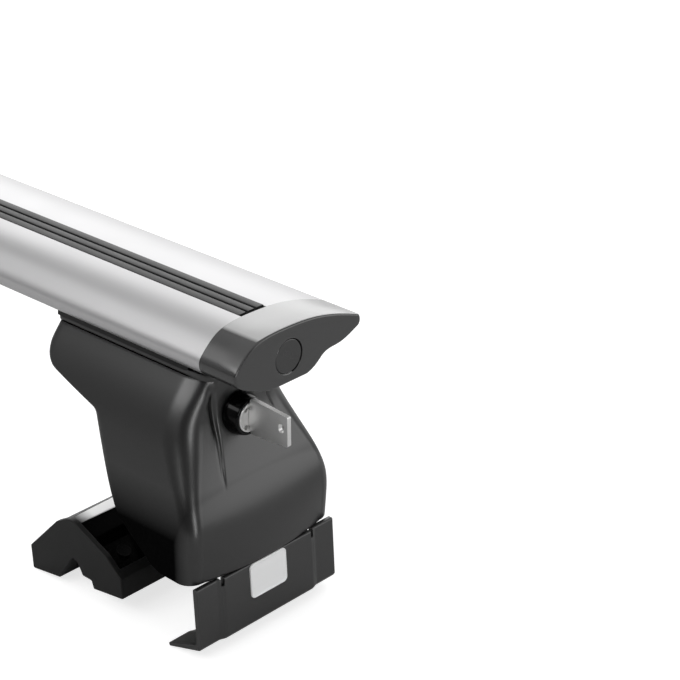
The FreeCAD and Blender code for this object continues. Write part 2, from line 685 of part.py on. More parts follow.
def rail_top():
    """Top line of the base rail from its inner toe over the ridge to the outer wall of the pad."""
    drop = size("rail_drop") / size("pad_height")
    return pad_points(((0.282, 0.857 - drop), (0.401, 0.985 - drop), (0.534, 0.998 - drop),
                       (0.659, 0.867 - drop), (0.694, 0.751 - drop), (0.929, 0.579 - drop)))


def lock_axis():
    """Height of the lock's axis over the standing plane."""
    return size("stand_height") - size("seat_drop") - size("lock_drop")


def make_bracket():
    """Foot bracket: pressed steel with two cheeks, a top flange, a front wall and a foot on the rail."""
    top = size("stand_height") - size("seat_drop")
    front = size("bracket_front")
    wall = size("bracket_wall")
    ease = size("bracket_ease")
    wall_top = lock_axis() - size("cam_reach") + size("cam_hook")
    wall_foot = size("pad_height") + 6.4
    arm_end, arm_z = ease + 1.8 - size("seat_length"), top - size("arm_end_depth") + ease
    leg_top = (0.8 - size("leg_inner_top"), top - size("arm_root_depth") + ease + 1.5)
    leg_foot = (5.3 - size("leg_inner_foot"), size("cover_bottom") + size("leg_foot_rise") + 4.6)
    line = rail_top()
    ridge = size("pad_height")
    cheek = [(arm_end, top, 0), (arm_end, arm_z, 6), leg_top + (10,), leg_foot + (3,)]
    cheek += [(leg_foot[0], ridge + 9.9, 4), (line[3][0], line[3][1] + 4.0, 3)]
    cheek += [(a, b, 0) for a, b in line[3:-1]]
    toe = (line[-1][0] - 0.4, line[-1][1] + 0.2)
    cheek += [toe + (0,), (toe[0], toe[1] + 6.0, 0)]
    cheek += [(front, wall_foot, 2), (front, wall_top, 2)]
    cheek += [(front - 16, wall_top + 4, 4), (front - 14, top, 0)]
    cheeks = prism("bracket_cheeks", "XZ", cheek, "2 * bracket_half")
    between = box("bracket_between", "400", "2 * (bracket_half - bracket_wall)", "400",
                  "-300", "-bracket_half + bracket_wall", "-100")
    pair = cut("bracket_pair", cheeks, between)
    flange = box("bracket_flange", "seat_length - bracket_ease - 1.8 + bracket_front", "2 * bracket_half",
                 "bracket_wall", "bracket_ease + 1.8 - seat_length", "-bracket_half",
                 COVER_TOP + " - bracket_wall")
    front_wall = prism("bracket_front_wall", "XZ",
                       [(front - wall, wall_foot, 0), (front, wall_foot, 0), (front, wall_top, 0),
                        (front - wall, wall_top, 0)], "2 * bracket_half")
    tread = line[3:5] + [toe]
    sole = [(a, b, 0) for a, b in tread] + [(a, b + wall + 0.4, 0) for a, b in reversed(tread)]
    foot = prism("bracket_foot", "XZ", sole, "2 * bracket_half")
    bolt_hole = rod("bracket_bolt_hole", "bolt_radius + bolt_hole_ease", "10",
                    "bracket_front - 6", "0", "bolt_height")
    solid = fuse("bracket_solid", pair, flange, front_wall, foot)
    bracket = cut("bracket_cut", solid, bolt_hole, *channel_bolt_holes("bracket"))
    return keep(place_foot(bracket), "left_foot_bracket")


def hex_body(name, flats, bore, length):
    """A hexagonal nut on its XY plane."""
    body = doc.addObject("PartDesign::Body", name)
    profile = body_sketch(body, name + "_profile", "XY_Plane",
                          hexagon(flats) + [Part.Circle(Vector(0, 0, 0), Vector(0, 0, 1), bore)])
    pad(body, name + "_pad", profile, length)
    return body


def make_channel_bolts():
    """Two channel bolts: a plate head inside the bar's channel and a shank down through the foot."""
    bolts = []
    for place in range(2):
        along = "tbolt_outer - %d * tbolt_pitch" % place
        head_seat = "stand_height - keel_drop + channel_lip + head_ease"
        head = box("tbolt_head_%d" % place, "tbolt_head_side", "2 * tbolt_head_half", "tbolt_head_depth",
                   along + " - tbolt_head_side / 2", "-tbolt_head_half", head_seat)
        shank = rod("tbolt_shank_%d" % place, "tbolt_radius", "tbolt_length + 1",
                    along, "0", head_seat + " - tbolt_length", "Z")
        bolts.append(fuse("tbolt_%d" % place, head, shank))
    group = doc.addObject("Part::Compound", "tbolt_group")
    group.Links = bolts
    return keep(place_foot(group), "left_channel_bolts")


def make_channel_nuts():
    """Two washers under the top flange, then two nuts on the channel bolts."""
    washers, nuts = [], []
    for place in range(2):
        along = "tbolt_outer - %d * tbolt_pitch" % place
        under = COVER_TOP + " - bracket_wall - washer_depth"
        washer = ring("channel_washer_%d" % place, "washer_radius", "tbolt_radius + 0.3", "washer_depth")
        bind(washer, Placement__Base__x=along, Placement__Base__z=under)
        washers.append(washer)
        nut = hex_body("channel_nut_%d" % place, size("nut_flats"), size("tbolt_radius") + size("nut_ease"),
                       "nut_depth")
        bind(nut, Placement__Base__x=along, Placement__Base__z=under + " - nut_depth")
        nuts.append(nut)
    washer_group = doc.addObject("Part::Compound", "channel_washer_group")
    washer_group.Links = washers
    nut_group = doc.addObject("Part::Compound", "channel_nut_group")
    nut_group.Links = nuts
    washers = keep(place_foot(washer_group), "left_channel_washers")
    return washers, keep(place_foot(nut_group), "left_channel_nuts")


def plate_section(back):
    """Section of the clamp plate's visible part and hooked lip, moved back by a joggle."""
    face, lean = size("plate_face") - back, size("plate_lean")
    top, knee = size("plate_top"), size("plate_knee")
    wall, reach, tip_wall = size("plate_wall"), size("lip_reach"), size("lip_tip")
    slant = math.hypot(reach, knee)
    along, across = (reach / slant, knee / slant), (-knee / slant, reach / slant)
    tip = (face + lean - reach, 0.0)
    inner_bend = face + lean - wall
    run = (inner_bend - tip[0] - across[0] * wall) / along[0]
    return [
        (face, top), (face + lean, knee + 1.5), (face + lean - 1.2, knee - 0.2), tip,
        (tip[0] + across[0] * tip_wall, tip[1] + across[1] * tip_wall),
        (inner_bend, tip[1] + run * along[1] + across[1] * wall), (face - wall, top),
    ]


def make_clamp_plate():
    """Clamp plate: bent sheet with a hooked lip, two joggled tabs and a tongue up to the clamp bolt."""
    half, tab = size("plate_half"), size("tab_width")
    bend = 2.5
    stations = ((-half, size("joggle")), (-half + tab - bend, size("joggle")), (-half + tab, 0.0),
                (half - tab, 0.0), (half - tab + bend, size("joggle")), (half, size("joggle")))
    wires = []
    for place, (across, back) in enumerate(stations):
        corners = [(a, b, 0) for a, b in plate_section(back)]
        wires.append(sketch("plate_level_%d" % place, "XZ", rounded(corners), -across))
    plate = doc.addObject("Part::Loft", "plate_body")
    plate.Sections = wires
    plate.Solid = True
    plate.Ruled = True
    face, tongue, wall = size("plate_face"), size("tongue_face"), size("plate_wall")
    top, tongue_top = size("plate_top"), size("tongue_top")
    slope = math.tan(math.radians(18))
    under = wall / math.cos(math.radians(18))
    bend = top - size("tongue_drop")
    step_top = bend + (face - tongue) * slope
    step_foot = step_top + wall * slope - under
    riser = [
        (face, bend, 0), (tongue, step_top, 4), (tongue, tongue_top, 0), (tongue - wall, tongue_top, 0),
        (tongue - wall, step_foot, 2), (face - wall, bend + wall * slope - under, 1.5),
        (face - wall, bend - 8, 0), (face, bend - 8, 0),
    ]
    tongue_solid = prism("plate_tongue", "XZ", riser, "2 * tongue_half")
    hole = rod("plate_hole", "bolt_radius + bolt_hole_ease", "40", "tongue_face - 20", "0", "bolt_height")
    notches = []
    for side in (-1, 1):
        notches.append(box("plate_notch_%s" % ("front" if side < 0 else "rear"), "20", "1.8", "4.2",
                           "plate_face - 12", "%d * (plate_half - tab_width) - 0.9" % side, "plate_top - 4"))
    clamp = cut("plate_cut", fuse("plate_solid", plate, tongue_solid), hole, *notches)
    return keep(place_foot(clamp), "left_clamp_plate")


def make_badge():
    """Blank badge with round corners on the clamp plate's face."""
    lean = math.degrees(math.atan2(size("plate_lean"), size("plate_top") - size("plate_knee") - 1.5))
    half_wide, height = size("badge_width") / 2, size("badge_height")
    outline = [(-half_wide, -height, 2.5), (half_wide, -height, 2.5)]
    outline += [(half_wide, 0, 2.5), (-half_wide, 0, 2.5)]
    body = doc.addObject("PartDesign::Body", "badge_body")
    profile = body_sketch(body, "badge_profile", "YZ_Plane", rounded(outline))
    pad(body, "badge_pad", profile, "badge_depth")
    body.Placement = Placement(Vector(), Rotation(Vector(0, 1, 0), -lean))
    slid = "plate_lean * (plate_top - badge_top) / (plate_top - plate_knee - 1.5)"
    bind(body, Placement__Base__x=FOOT_X + " + plate_face + " + slid,
         Placement__Base__y=FOOT_Y + " - badge_shift", Placement__Base__z="badge_top")
    return keep(body, "left_badge")


def make_clamp_washer():
    """Washer under the clamp bolt's head."""
    body = ring("clamp_washer_body", "washer_radius", "bolt_radius + 0.3", "washer_depth")
    body.Placement = Placement(Vector(), Rotation(Vector(0, 1, 0), 90))
    bind(body, Placement__Base__x=FOOT_X + " + tongue_face", Placement__Base__y=FOOT_Y,
         Placement__Base__z="bolt_height")
    return keep(body, "left_clamp_washer")


def make_clamp_bolt():
    """Clamp bolt: a round head with a hexagon socket and a plain shank."""
    head = rod("clamp_bolt_head", "bolt_head_radius", "bolt_head_depth", "tongue_face + washer_depth",
               "0", "bolt_height")
    shank = rod("clamp_bolt_shank", "bolt_radius", "bolt_length + 1",
                "tongue_face + washer_depth - bolt_length", "0", "bolt_height")
    socket_floor = size("tongue_face") + size("washer_depth") + 0.4 * size("bolt_head_depth")
    socket_sketch = sketch("clamp_bolt_socket_outline", "YZ", hexagon(6.0, (0.0, size("bolt_height"))),
                           socket_floor)
    socket = extrude("clamp_bolt_socket", socket_sketch, "bolt_head_depth", False)
    bolt = cut("clamp_bolt_cut", fuse("clamp_bolt_solid", head, shank), socket)
    return keep(place_foot(bolt), "left_clamp_bolt")


def make_clamp_nut():
    """Nut behind the bracket's front wall, on the clamp bolt."""
    body = hex_body("clamp_nut_body", size("nut_flats"), size("bolt_radius") + size("nut_ease"), "nut_depth")
    body.Placement = Placement(Vector(), Rotation(Vector(0, 1, 0), -90))
    bind(body, Placement__Base__x=FOOT_X + " + bracket_front - bracket_wall", Placement__Base__y=FOOT_Y,
         Placement__Base__z="bolt_height")
    return keep(body, "left_clamp_nut")


def make_lock_bezel():
    """Black lock housing: a bezel outside the cover and a sleeve through it."""
    bezel = doc.addObject("Part::Cone", "bezel_disc")
    bezel.Placement = Placement(Vector(), Rotation(Vector(0, 1, 0), 90))
    bind(bezel, Radius1="bezel_radius", Radius2="bezel_front_radius", Height="bezel_depth",
         Placement__Base__x="bezel_face - bezel_depth", Placement__Base__z=LOCK_Z)
    sleeve = rod("bezel_sleeve", "sleeve_radius", "sleeve_depth + bezel_face", "-sleeve_depth", "0", LOCK_Z)
    bore = rod("bezel_bore", "barrel_radius + lock_ease", "80", "-40", "0", LOCK_Z)
    housing = cut("bezel_cut", fuse("bezel_solid", bezel, sleeve), bore)
    return keep(place_foot(housing), "left_lock_housing")


def make_lock_nut():
    """Flat ring nut that holds the lock housing to the cover."""
    body = ring("lock_nut_body", "sleeve_radius + 3", "sleeve_radius + nut_ease", "3.5")
    body.Placement = Placement(Vector(), Rotation(Vector(0, 1, 0), -90))
    bind(body, Placement__Base__x=FOOT_X + " + cover_face_top - cover_wall - 0.7", Placement__Base__y=FOOT_Y,
         Placement__Base__z=LOCK_Z)
    return keep(body, "left_lock_nut")


def make_lock_barrel():
    """Lock barrel with a keyway across its face and a stud for the cam."""
    face = "bezel_face + barrel_proud"
    drum = rod("barrel_drum", "barrel_radius", "sleeve_depth + " + face, "-sleeve_depth", "0", LOCK_Z)
    keyway = box("barrel_keyway", "key_blade_length + 2", "key_sheet + 2 * keyway_ease",
                 "key_blade + 2 * keyway_ease", face + " - key_blade_length - 1",
                 "-key_sheet / 2 - keyway_ease", LOCK_Z + " - key_blade / 2 - keyway_ease")
    stud = rod("barrel_stud", "4", "cam_sheet + 1.5", "-sleeve_depth - cam_sheet - 1.5", "0", LOCK_Z)
    dimples = []
    for side in (-1, 1):
        dimples.append(rod("barrel_dimple_%s" % ("low" if side < 0 else "high"), "0.8", "3",
                           "bezel_face + barrel_proud - 2", "-2.3", LOCK_Z + " + %d * 5.1" % side))
    barrel = cut("barrel_cut", fuse("barrel_solid", drum, stud), keyway, *dimples)
    return keep(place_foot(barrel), "left_lock_barrel")


def make_lock_cam():
    """Lock cam: a flat arm on the barrel's stud that reaches down behind the bracket's front wall."""
    body = doc.addObject("PartDesign::Body", "cam_body")
    half, reach = size("cam_width") / 2, size("cam_reach")
    outline = rounded([(-half, -reach, 1.5), (half, -reach, 1.5), (half + 3, 0, 7), (half, 7.5, 3),
                       (-half, 7.5, 3), (-half - 3, 0, 7)])
    outline.append(Part.Circle(Vector(0, 0, 0), Vector(0, 0, 1), 4.0))
    profile = body_sketch(body, "cam_profile", "YZ_Plane", outline)
    pad(body, "cam_pad", profile, "cam_sheet")
    bind(body, Placement__Base__x=FOOT_X + " - sleeve_depth - cam_sheet", Placement__Base__y=FOOT_Y,
         Placement__Base__z=LOCK_Z)
    return keep(body, "left_lock_cam")


def make_key():
    """Flat key: a tapered head with a ring slot and a blade with wards."""
    body = doc.addObject("PartDesign::Body", "key_body")
    root, end, length = size("key_head_root") / 2, size("key_head_end") / 2, size("key_head_length")
    lift = size("key_head_lift")
    blade, reach = size("key_blade") / 2, size("key_blade_length")
    ward = 1.1
    outline = [
        (0.3, lift - root, 1.5), (length, lift - end, 0.8),
        (length, lift + end, 0.8), (0.3, lift + root, 1.5),
        (0.3, blade, 0), (-3, blade, 0), (-5, blade - ward, 0), (-7, blade, 0), (-9.5, blade, 0),
        (-11.5, blade - ward, 0), (-13, blade - ward, 0), (-14.5, blade, 0), (3 - reach, blade, 0),
        (-reach, blade - 2.5, 0), (-reach, 2.5 - blade, 0), (3 - reach, -blade, 0), (0.3, -blade, 0),
    ]
    profile = body_sketch(body, "key_profile", "XZ_Plane", rounded(outline))
    pad(body, "key_pad", profile, "key_sheet", True)
    slot_far, slot_near = length - 5.6, length - 2.4
    slot_low, slot_high = lift - 1.3, lift + 2.9
    slot = rounded([(slot_far, slot_low, 1.3), (slot_near, slot_low, 1.3),
                    (slot_near, slot_high, 1.3), (slot_far, slot_high, 1.3)])
    pocket_through(body, "key_slot", body_sketch(body, "key_slot_profile", "XZ_Plane", slot))
    bind(body, Placement__Base__x=FOOT_X + " + bezel_face + barrel_proud", Placement__Base__y=FOOT_Y,
         Placement__Base__z=LOCK_Z)
    return keep(body, "left_key")


def pad_outline():
    """Chevron outline of the rubber pad, from its inner foot over the ridge to its outer wall."""
    return pad_points((
        (0.0, 0.320, 1), (0.012, 0.0, 1), (0.312, 0.074, 0.8), (0.427, 0.352, 1), (0.469, 0.453, 1.5),
        (0.522, 0.433, 1.5), (0.574, 0.281, 1), (0.668, 0.276, 0.8), (0.688, 0.177, 0.8), (1.0, 0.251, 0.8),
        (0.991, 0.517, 0.8), (0.846, 0.719, 6), (0.467, 1.0, 9), (0.312, 0.852, 3),
    ))


def make_pad():
    """Rubber pad: a chevron moulding whose end walls and outer rim hold the base rail."""
    blank = prism("pad_blank", "XZ", pad_outline(), "2 * pad_half")
    line = rail_top()
    sheet_down = [(a, b - size("rail_sheet")) for a, b in line]
    sheet_down[0] = (line[0][0] - 1.4, line[0][1] - 1.0)
    sheet_down[-1] = (line[-1][0], line[-1][1] - size("rail_sheet"))
    recess = [(a, b, 0) for a, b in sheet_down]
    recess += [(line[-1][0], 60.0, 0), (line[0][0] - 1.4, 60.0, 0)]
    pocket = prism("pad_recess", "XZ", recess, "2 * (pad_half - pad_end_wall)")
    rubber = cut("pad_cut", blank, pocket)
    return keep(place_foot(rubber), "left_foot_pad")


def make_rail():
    """Base rail: a folded strip that lies in the pad, with a ridge, a step and an outer floor."""
    line = rail_top()
    under = [(a, b - size("rail_sheet")) for a, b in line]
    under[0] = (line[0][0] - 1.4, line[0][1] - 1.0)
    corners = [(a, b, 0) for a, b in line] + [(a, b, 0) for a, b in reversed(under)]
    rail = prism("rail_blank", "XZ", corners, "2 * (pad_half - pad_end_wall)")
    return keep(place_foot(rail), "left_base_rail")


def make_rail_screws():
    """Two low round screws that hold the pad to the rail's floor."""
    line = rail_top()
    floor_inner, floor_outer = line[-2], line[-1]
    share = 0.45
    middle = (floor_inner[0] + share * (floor_outer[0] - floor_inner[0]),
              floor_inner[1] + share * (floor_outer[1] - floor_inner[1]))
    tilt = math.degrees(math.atan2(floor_outer[1] - floor_inner[1], floor_outer[0] - floor_inner[0]))
    screws = []
    for side in (-1, 1):
        screw = doc.addObject("Part::Cylinder", "rail_screw_%s" % ("front" if side < 0 else "rear"))
        screw.Radius = 3.6
        screw.Height = 2.2
        screw.Placement = Placement(Vector(middle[0], 0, middle[1]), Rotation(Vector(0, 1, 0), -tilt))
        bind(screw, Placement__Base__y="%d * rail_screw_spread" % side)
        screws.append(screw)
    group = doc.addObject("Part::Compound", "rail_screw_group")
    group.Links = screws
    return keep(place_foot(group), "left_base_screws")


def mirror_to_right(left):
    """The right foot's or right end's twin of a left piece."""
    made = doc.addObject("Part::Mirroring", left.Name + "_twin")
    made.Source = left
    made.Base = Vector(0, 0, 0)
    made.Normal = Vector(1, 0, 0)
    keep(made, left.Label.replace("left_", "right_"))


make_bar()
make_strip()
lefts = [make_cap(), make_plug(), make_cap_screw(), make_seat(), make_gasket(), make_cover(), make_bracket()]
lefts += [make_channel_bolts(), *make_channel_nuts()]
lefts += [make_clamp_plate(), make_badge(), make_clamp_washer(), make_clamp_bolt(), make_clamp_nut()]
lefts += [make_lock_bezel(), make_lock_nut(), make_lock_barrel(), make_lock_cam(), make_key()]
lefts += [make_pad(), make_rail(), make_rail_screws()]
doc.recompute()
for left in lefts:
    mirror_to_right(left)
doc.recompute()

# Every object is checked before anything is written
for obj in doc.Objects:
    if "Invalid" in obj.State or "Error" in obj.State:
        raise RuntimeError("%s failed: %s" % (obj.Name, obj.State))
for part in PARTS:
    if part.Shape.isNull() or not part.Shape.isValid() or not part.Shape.Solids:
        raise RuntimeError("%s has no valid solid" % part.Label)
for part in PARTS:
    part.Shape.exportStep(os.path.join("parts", part.Label + ".step"))
    print(part.Label, len(part.Shape.Solids), round(part.Shape.Volume, 1))
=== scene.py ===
import json
import logging
import math
from collections.abc import Callable
from dataclasses import dataclass, field
from enum import Enum

import bmesh
import bpy
import numpy as np
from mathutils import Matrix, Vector
from mathutils.geometry import delaunay_2d_cdt

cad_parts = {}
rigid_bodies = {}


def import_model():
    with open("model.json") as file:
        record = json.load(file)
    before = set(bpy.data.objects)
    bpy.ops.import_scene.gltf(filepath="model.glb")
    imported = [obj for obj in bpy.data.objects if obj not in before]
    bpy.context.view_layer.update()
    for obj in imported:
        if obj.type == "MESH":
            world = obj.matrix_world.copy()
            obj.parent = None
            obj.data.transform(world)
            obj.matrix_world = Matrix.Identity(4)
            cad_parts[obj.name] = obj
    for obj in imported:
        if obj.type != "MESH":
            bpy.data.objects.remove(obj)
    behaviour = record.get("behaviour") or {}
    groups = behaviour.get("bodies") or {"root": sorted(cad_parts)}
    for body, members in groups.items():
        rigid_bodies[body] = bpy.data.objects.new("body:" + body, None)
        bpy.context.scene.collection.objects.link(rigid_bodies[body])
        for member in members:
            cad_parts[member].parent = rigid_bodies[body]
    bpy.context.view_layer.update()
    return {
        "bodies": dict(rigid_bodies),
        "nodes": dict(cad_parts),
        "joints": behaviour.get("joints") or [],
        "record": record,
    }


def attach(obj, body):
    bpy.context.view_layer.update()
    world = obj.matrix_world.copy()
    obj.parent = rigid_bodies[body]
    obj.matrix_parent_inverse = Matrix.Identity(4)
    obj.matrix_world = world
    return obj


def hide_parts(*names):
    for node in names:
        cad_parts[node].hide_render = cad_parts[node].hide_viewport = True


log = logging.getLogger("crossbar")
Array = np.ndarray
Value = float | tuple | bpy.types.NodeSocket
MM = 0.001
QUARTER = math.pi / 2
WHITE = (1.0, 1.0, 1.0, 1.0)


class Side(Enum):
    """The two ends of the bar; the value is the sign of their X."""

    LEFT = 1
    RIGHT = -1

    @property
    def prefix(self) -> str:
        """Start of the names of this end's nodes and bodies."""
        return "left_" if self is Side.LEFT else "right_"


# Curves and outlines, as whole arrays


def unit(rows: Array) -> Array:
    """Rows divided by their length; a row without length stays short."""
    return rows / np.maximum(np.linalg.norm(rows, axis=1, keepdims=True), 1e-9)


def running(line: Array) -> Array:
    """Running length of a line at each of its points."""
    return np.concatenate([[0.0], np.cumsum(np.linalg.norm(np.diff(line, axis=0), axis=1))])


def quarter(count: int) -> Array:
    """Even angles over a quarter turn."""
    return np.linspace(0, QUARTER, count)


def slopes(knots: Array, values: Array, first: Array | None = None, last: Array | None = None) -> Array:
    """Slopes of the twice-smooth cubic through values at knots.

    The slopes m solve m[i-1]/h[i-1] + 2 m[i] (1/h[i-1] + 1/h[i]) + m[i+1]/h[i] = 3 times the sum of both
    steps over their squared lengths; an end without a given slope bends to a straight line.

    Args:
        knots: Rising places of the values.
        values: One row for each knot.
        first: Slope at the first knot.
        last: Slope at the last knot.

    Returns:
        One slope row for each knot.
    """
    h = np.diff(knots)
    steps = np.diff(values, axis=0)
    count = len(knots)
    system, right = np.zeros((count, count)), np.zeros(values.shape)
    mid = np.arange(1, count - 1)
    system[mid, mid - 1], system[mid, mid + 1] = 1 / h[:-1], 1 / h[1:]
    system[mid, mid] = 2 / h[:-1] + 2 / h[1:]
    right[mid] = 3 * (steps[:-1] / h[:-1, None] ** 2 + steps[1:] / h[1:, None] ** 2)
    system[0, 0], system[-1, -1] = (1, 1) if first is not None else (2, 2)
    if first is not None:
        right[0], right[-1] = first, last
    else:
        system[0, 1] = system[-1, -2] = 1
        right[0], right[-1] = 3 * steps[0] / h[0], 3 * steps[-1] / h[-1]
    return np.linalg.solve(system, right)


def hermite(knots: Array, values: Array, tangents: Array, places: Array) -> Array:
    """Values of the cubic pieces at places, from the values and slopes at the knots.

    Args:
        knots: Rising knots.
        values: One row for each knot.
        tangents: One slope row for each knot.
        places: Where the cubic is read.

    Returns:
        One row for each place.
    """
    cell = np.clip(np.searchsorted(knots, places, side="right") - 1, 0, len(knots) - 2)
    h = (knots[cell + 1] - knots[cell])[:, None]
    t = (places - knots[cell])[:, None] / h
    return (
        (2 * t**3 - 3 * t**2 + 1) * values[cell]
        + (t**3 - 2 * t**2 + t) * h * tangents[cell]
        + (3 * t**2 - 2 * t**3) * values[cell + 1]
        + (t**3 - t**2) * h * tangents[cell + 1]
    )


def curve_through(points: Array, first: tuple, last: tuple, count: int) -> Array:
    """A smooth plane curve through points, with its end directions given.

    The knots are the running chord length, and the ends move at unit speed along their directions.

    Args:
        points: The points, one row each.
        first: Direction at the start.
        last: Direction at the end.
        count: Number of samples.

    Returns:
        The samples, one row each.
    """
    knots = running(points)
    tangents = slopes(knots, points, *unit(np.array([first, last], float)))
    return hermite(knots, points, tangents, np.linspace(0, knots[-1], count))


def graph_through(knots: tuple, values: tuple, places: Array) -> Array:
    """A smooth graph through (knot, value) pairs, held at its ends.

    Args:
        knots: The knots, in any order.
        values: The value at each knot.
        places: Where the graph is read, of any shape.

    Returns:
        The values, in the shape of the places.
    """
    order = np.argsort(knots)
    x, y = np.asarray(knots, float)[order], np.asarray(values, float)[order][:, None]
    flat = np.clip(np.ravel(places), x[0], x[-1])
    return hermite(x, y, slopes(x, y), flat).reshape(np.shape(places))


def fillet(corners: list[tuple], steps: int = 6) -> Array:
    """A closed outline with rounded corners.

    Each corner (a, b, radius) becomes an arc about the point that lies radius / sin(half the corner's angle)
    along its bisector; the arc is swept evenly between its two touching points.

    Args:
        corners: The corners in order.
        steps: Samples on each arc.

    Returns:
        The outline's points, one row each, without repeated ones.
    """
    table = np.array(corners, float)
    p, r = table[:, :2], table[:, 2:3]
    back, ahead = unit(np.roll(p, 1, 0) - p), unit(np.roll(p, -1, 0) - p)
    half = np.arccos(np.clip((back * ahead).sum(1, keepdims=True), -1, 1)) / 2
    half = np.minimum(half, math.radians(89.9))
    centre = p + unit(back + ahead) * r / np.sin(half)
    start, end = p + back * r / np.tan(half) - centre, p + ahead * r / np.tan(half) - centre
    sweep = (math.pi - 2 * half)[:, None]
    t = np.linspace(0, 1, steps)[None, :, None]
    arc = (np.sin((1 - t) * sweep) * start[:, None] + np.sin(t * sweep) * end[:, None]) / np.sin(sweep)
    trail = (centre[:, None] + arc).reshape(-1, 2)
    gaps = np.linalg.norm(trail - np.roll(trail, 1, 0), axis=1)
    return trail[gaps > 1e-5]


def inset(outline: Array, depth: float) -> Array:
    """The outline moved inwards along its own normals, whichever way round it runs.

    The normal of a point stands across the sum of the directions of its two sides, and it is made longer by
    one over the cosine of its lean from a side's own normal, so that the sides move by the depth.

    Args:
        outline: The closed outline.
        depth: How far its sides move.

    Returns:
        The moved outline, point for point.
    """
    ahead, back = np.roll(outline, -1, 0), np.roll(outline, 1, 0)
    first, second = unit(outline - back), unit(ahead - outline)
    area = (outline[:, 0] * ahead[:, 1] - ahead[:, 0] * outline[:, 1]).sum()
    turn = 1.0 if area > 0 else -1.0
    along = first + second
    normal = unit(np.stack([-along[:, 1], along[:, 0]], 1))
    lean = np.clip(normal[:, 0] * -first[:, 1] + normal[:, 1] * first[:, 0], 0.5, 1.0)
    return outline + turn * normal * (depth / lean)[:, None]


def within(loop: Array, points: Array) -> Array:
    """Which points lie inside a closed outline.

    They are those whose ray along the first axis crosses the outline an odd number of times.

    Args:
        loop: The closed outline.
        points: The points, one row each.

    Returns:
        True for each point inside.
    """
    a, b = loop[None], np.roll(loop, -1, 0)[None]
    x, y = points[:, None, 0], points[:, None, 1]
    spans = (a[..., 1] > y) != (b[..., 1] > y)
    rise = np.where(b[..., 1] == a[..., 1], 1.0, b[..., 1] - a[..., 1])
    crossing = a[..., 0] + (y - a[..., 1]) / rise * (b[..., 0] - a[..., 0])
    return (spans & (x < crossing)).sum(1) % 2 == 1


def circle(radius: float, count: int) -> Array:
    """Points of a circle about the origin."""
    turn = np.arange(count) * 2 * math.pi / count
    return radius * np.stack([np.cos(turn), np.sin(turn)], 1)


def densified(outline: Array, spacing: float) -> Array:
    """A closed outline with even places added between its own points.

    The running lengths of the outline's points and of the even places are joined and sorted, and both
    coordinates are read off the straight sides there.

    Args:
        outline: The closed outline.
        spacing: The greatest gap left between neighbours.

    Returns:
        The finer outline.
    """
    closed = np.concatenate([outline, outline[:1]])
    run = running(closed)
    places = np.union1d(run, np.linspace(0, run[-1], int(run[-1] / spacing) + 2))[:-1]
    places = places[np.concatenate([[True], np.diff(places) > 0.02])]
    return np.stack([np.interp(places, run, closed[:, axis]) for axis in range(2)], 1)


def thinned(line: Array, spacing: float) -> Array:
    """An open plane line resampled at even running lengths.

    Args:
        line: The line's points.
        spacing: About the gap between neighbours.

    Returns:
        The resampled line.
    """
    run = running(line)
    places = np.linspace(0, run[-1], max(2, int(run[-1] / spacing) + 1))
    return np.stack([np.interp(places, run, line[:, axis]) for axis in range(2)], 1)


def height_at(line: Array, across: Array) -> Array:
    """Height of a plane line at places across, read off its points in their order across."""
    order = np.argsort(line[:, 0])
    return np.interp(across, line[order, 0], line[order, 1])


def undercut(middle: float, steps: tuple, way: int) -> Array:
    """Walls of an undercut slot that is even about its middle.

    The steps are laid out on the side where the outline comes in and mirrored in reverse order on the other.

    Args:
        middle: The slot's middle, across.
        steps: (distance from the middle, height) of the corners, from the mouth to the floor.
        way: 1 where the outline runs towards greater places across, -1 where it runs back.

    Returns:
        The corners in the outline's order, one row each.
    """
    first = np.array(steps) * (-way, 1)
    return np.concatenate([first, first[::-1] * (-1, 1)]) + (middle, 0.0)


def step_up(x: Array, first: float, last: float) -> Array:
    """A smooth step, 3 t squared - 2 t cubed of the share t of the way from first to last."""
    t = np.clip((x - first) / (last - first), 0, 1)
    return t * t * (3 - 2 * t)


# Meshes


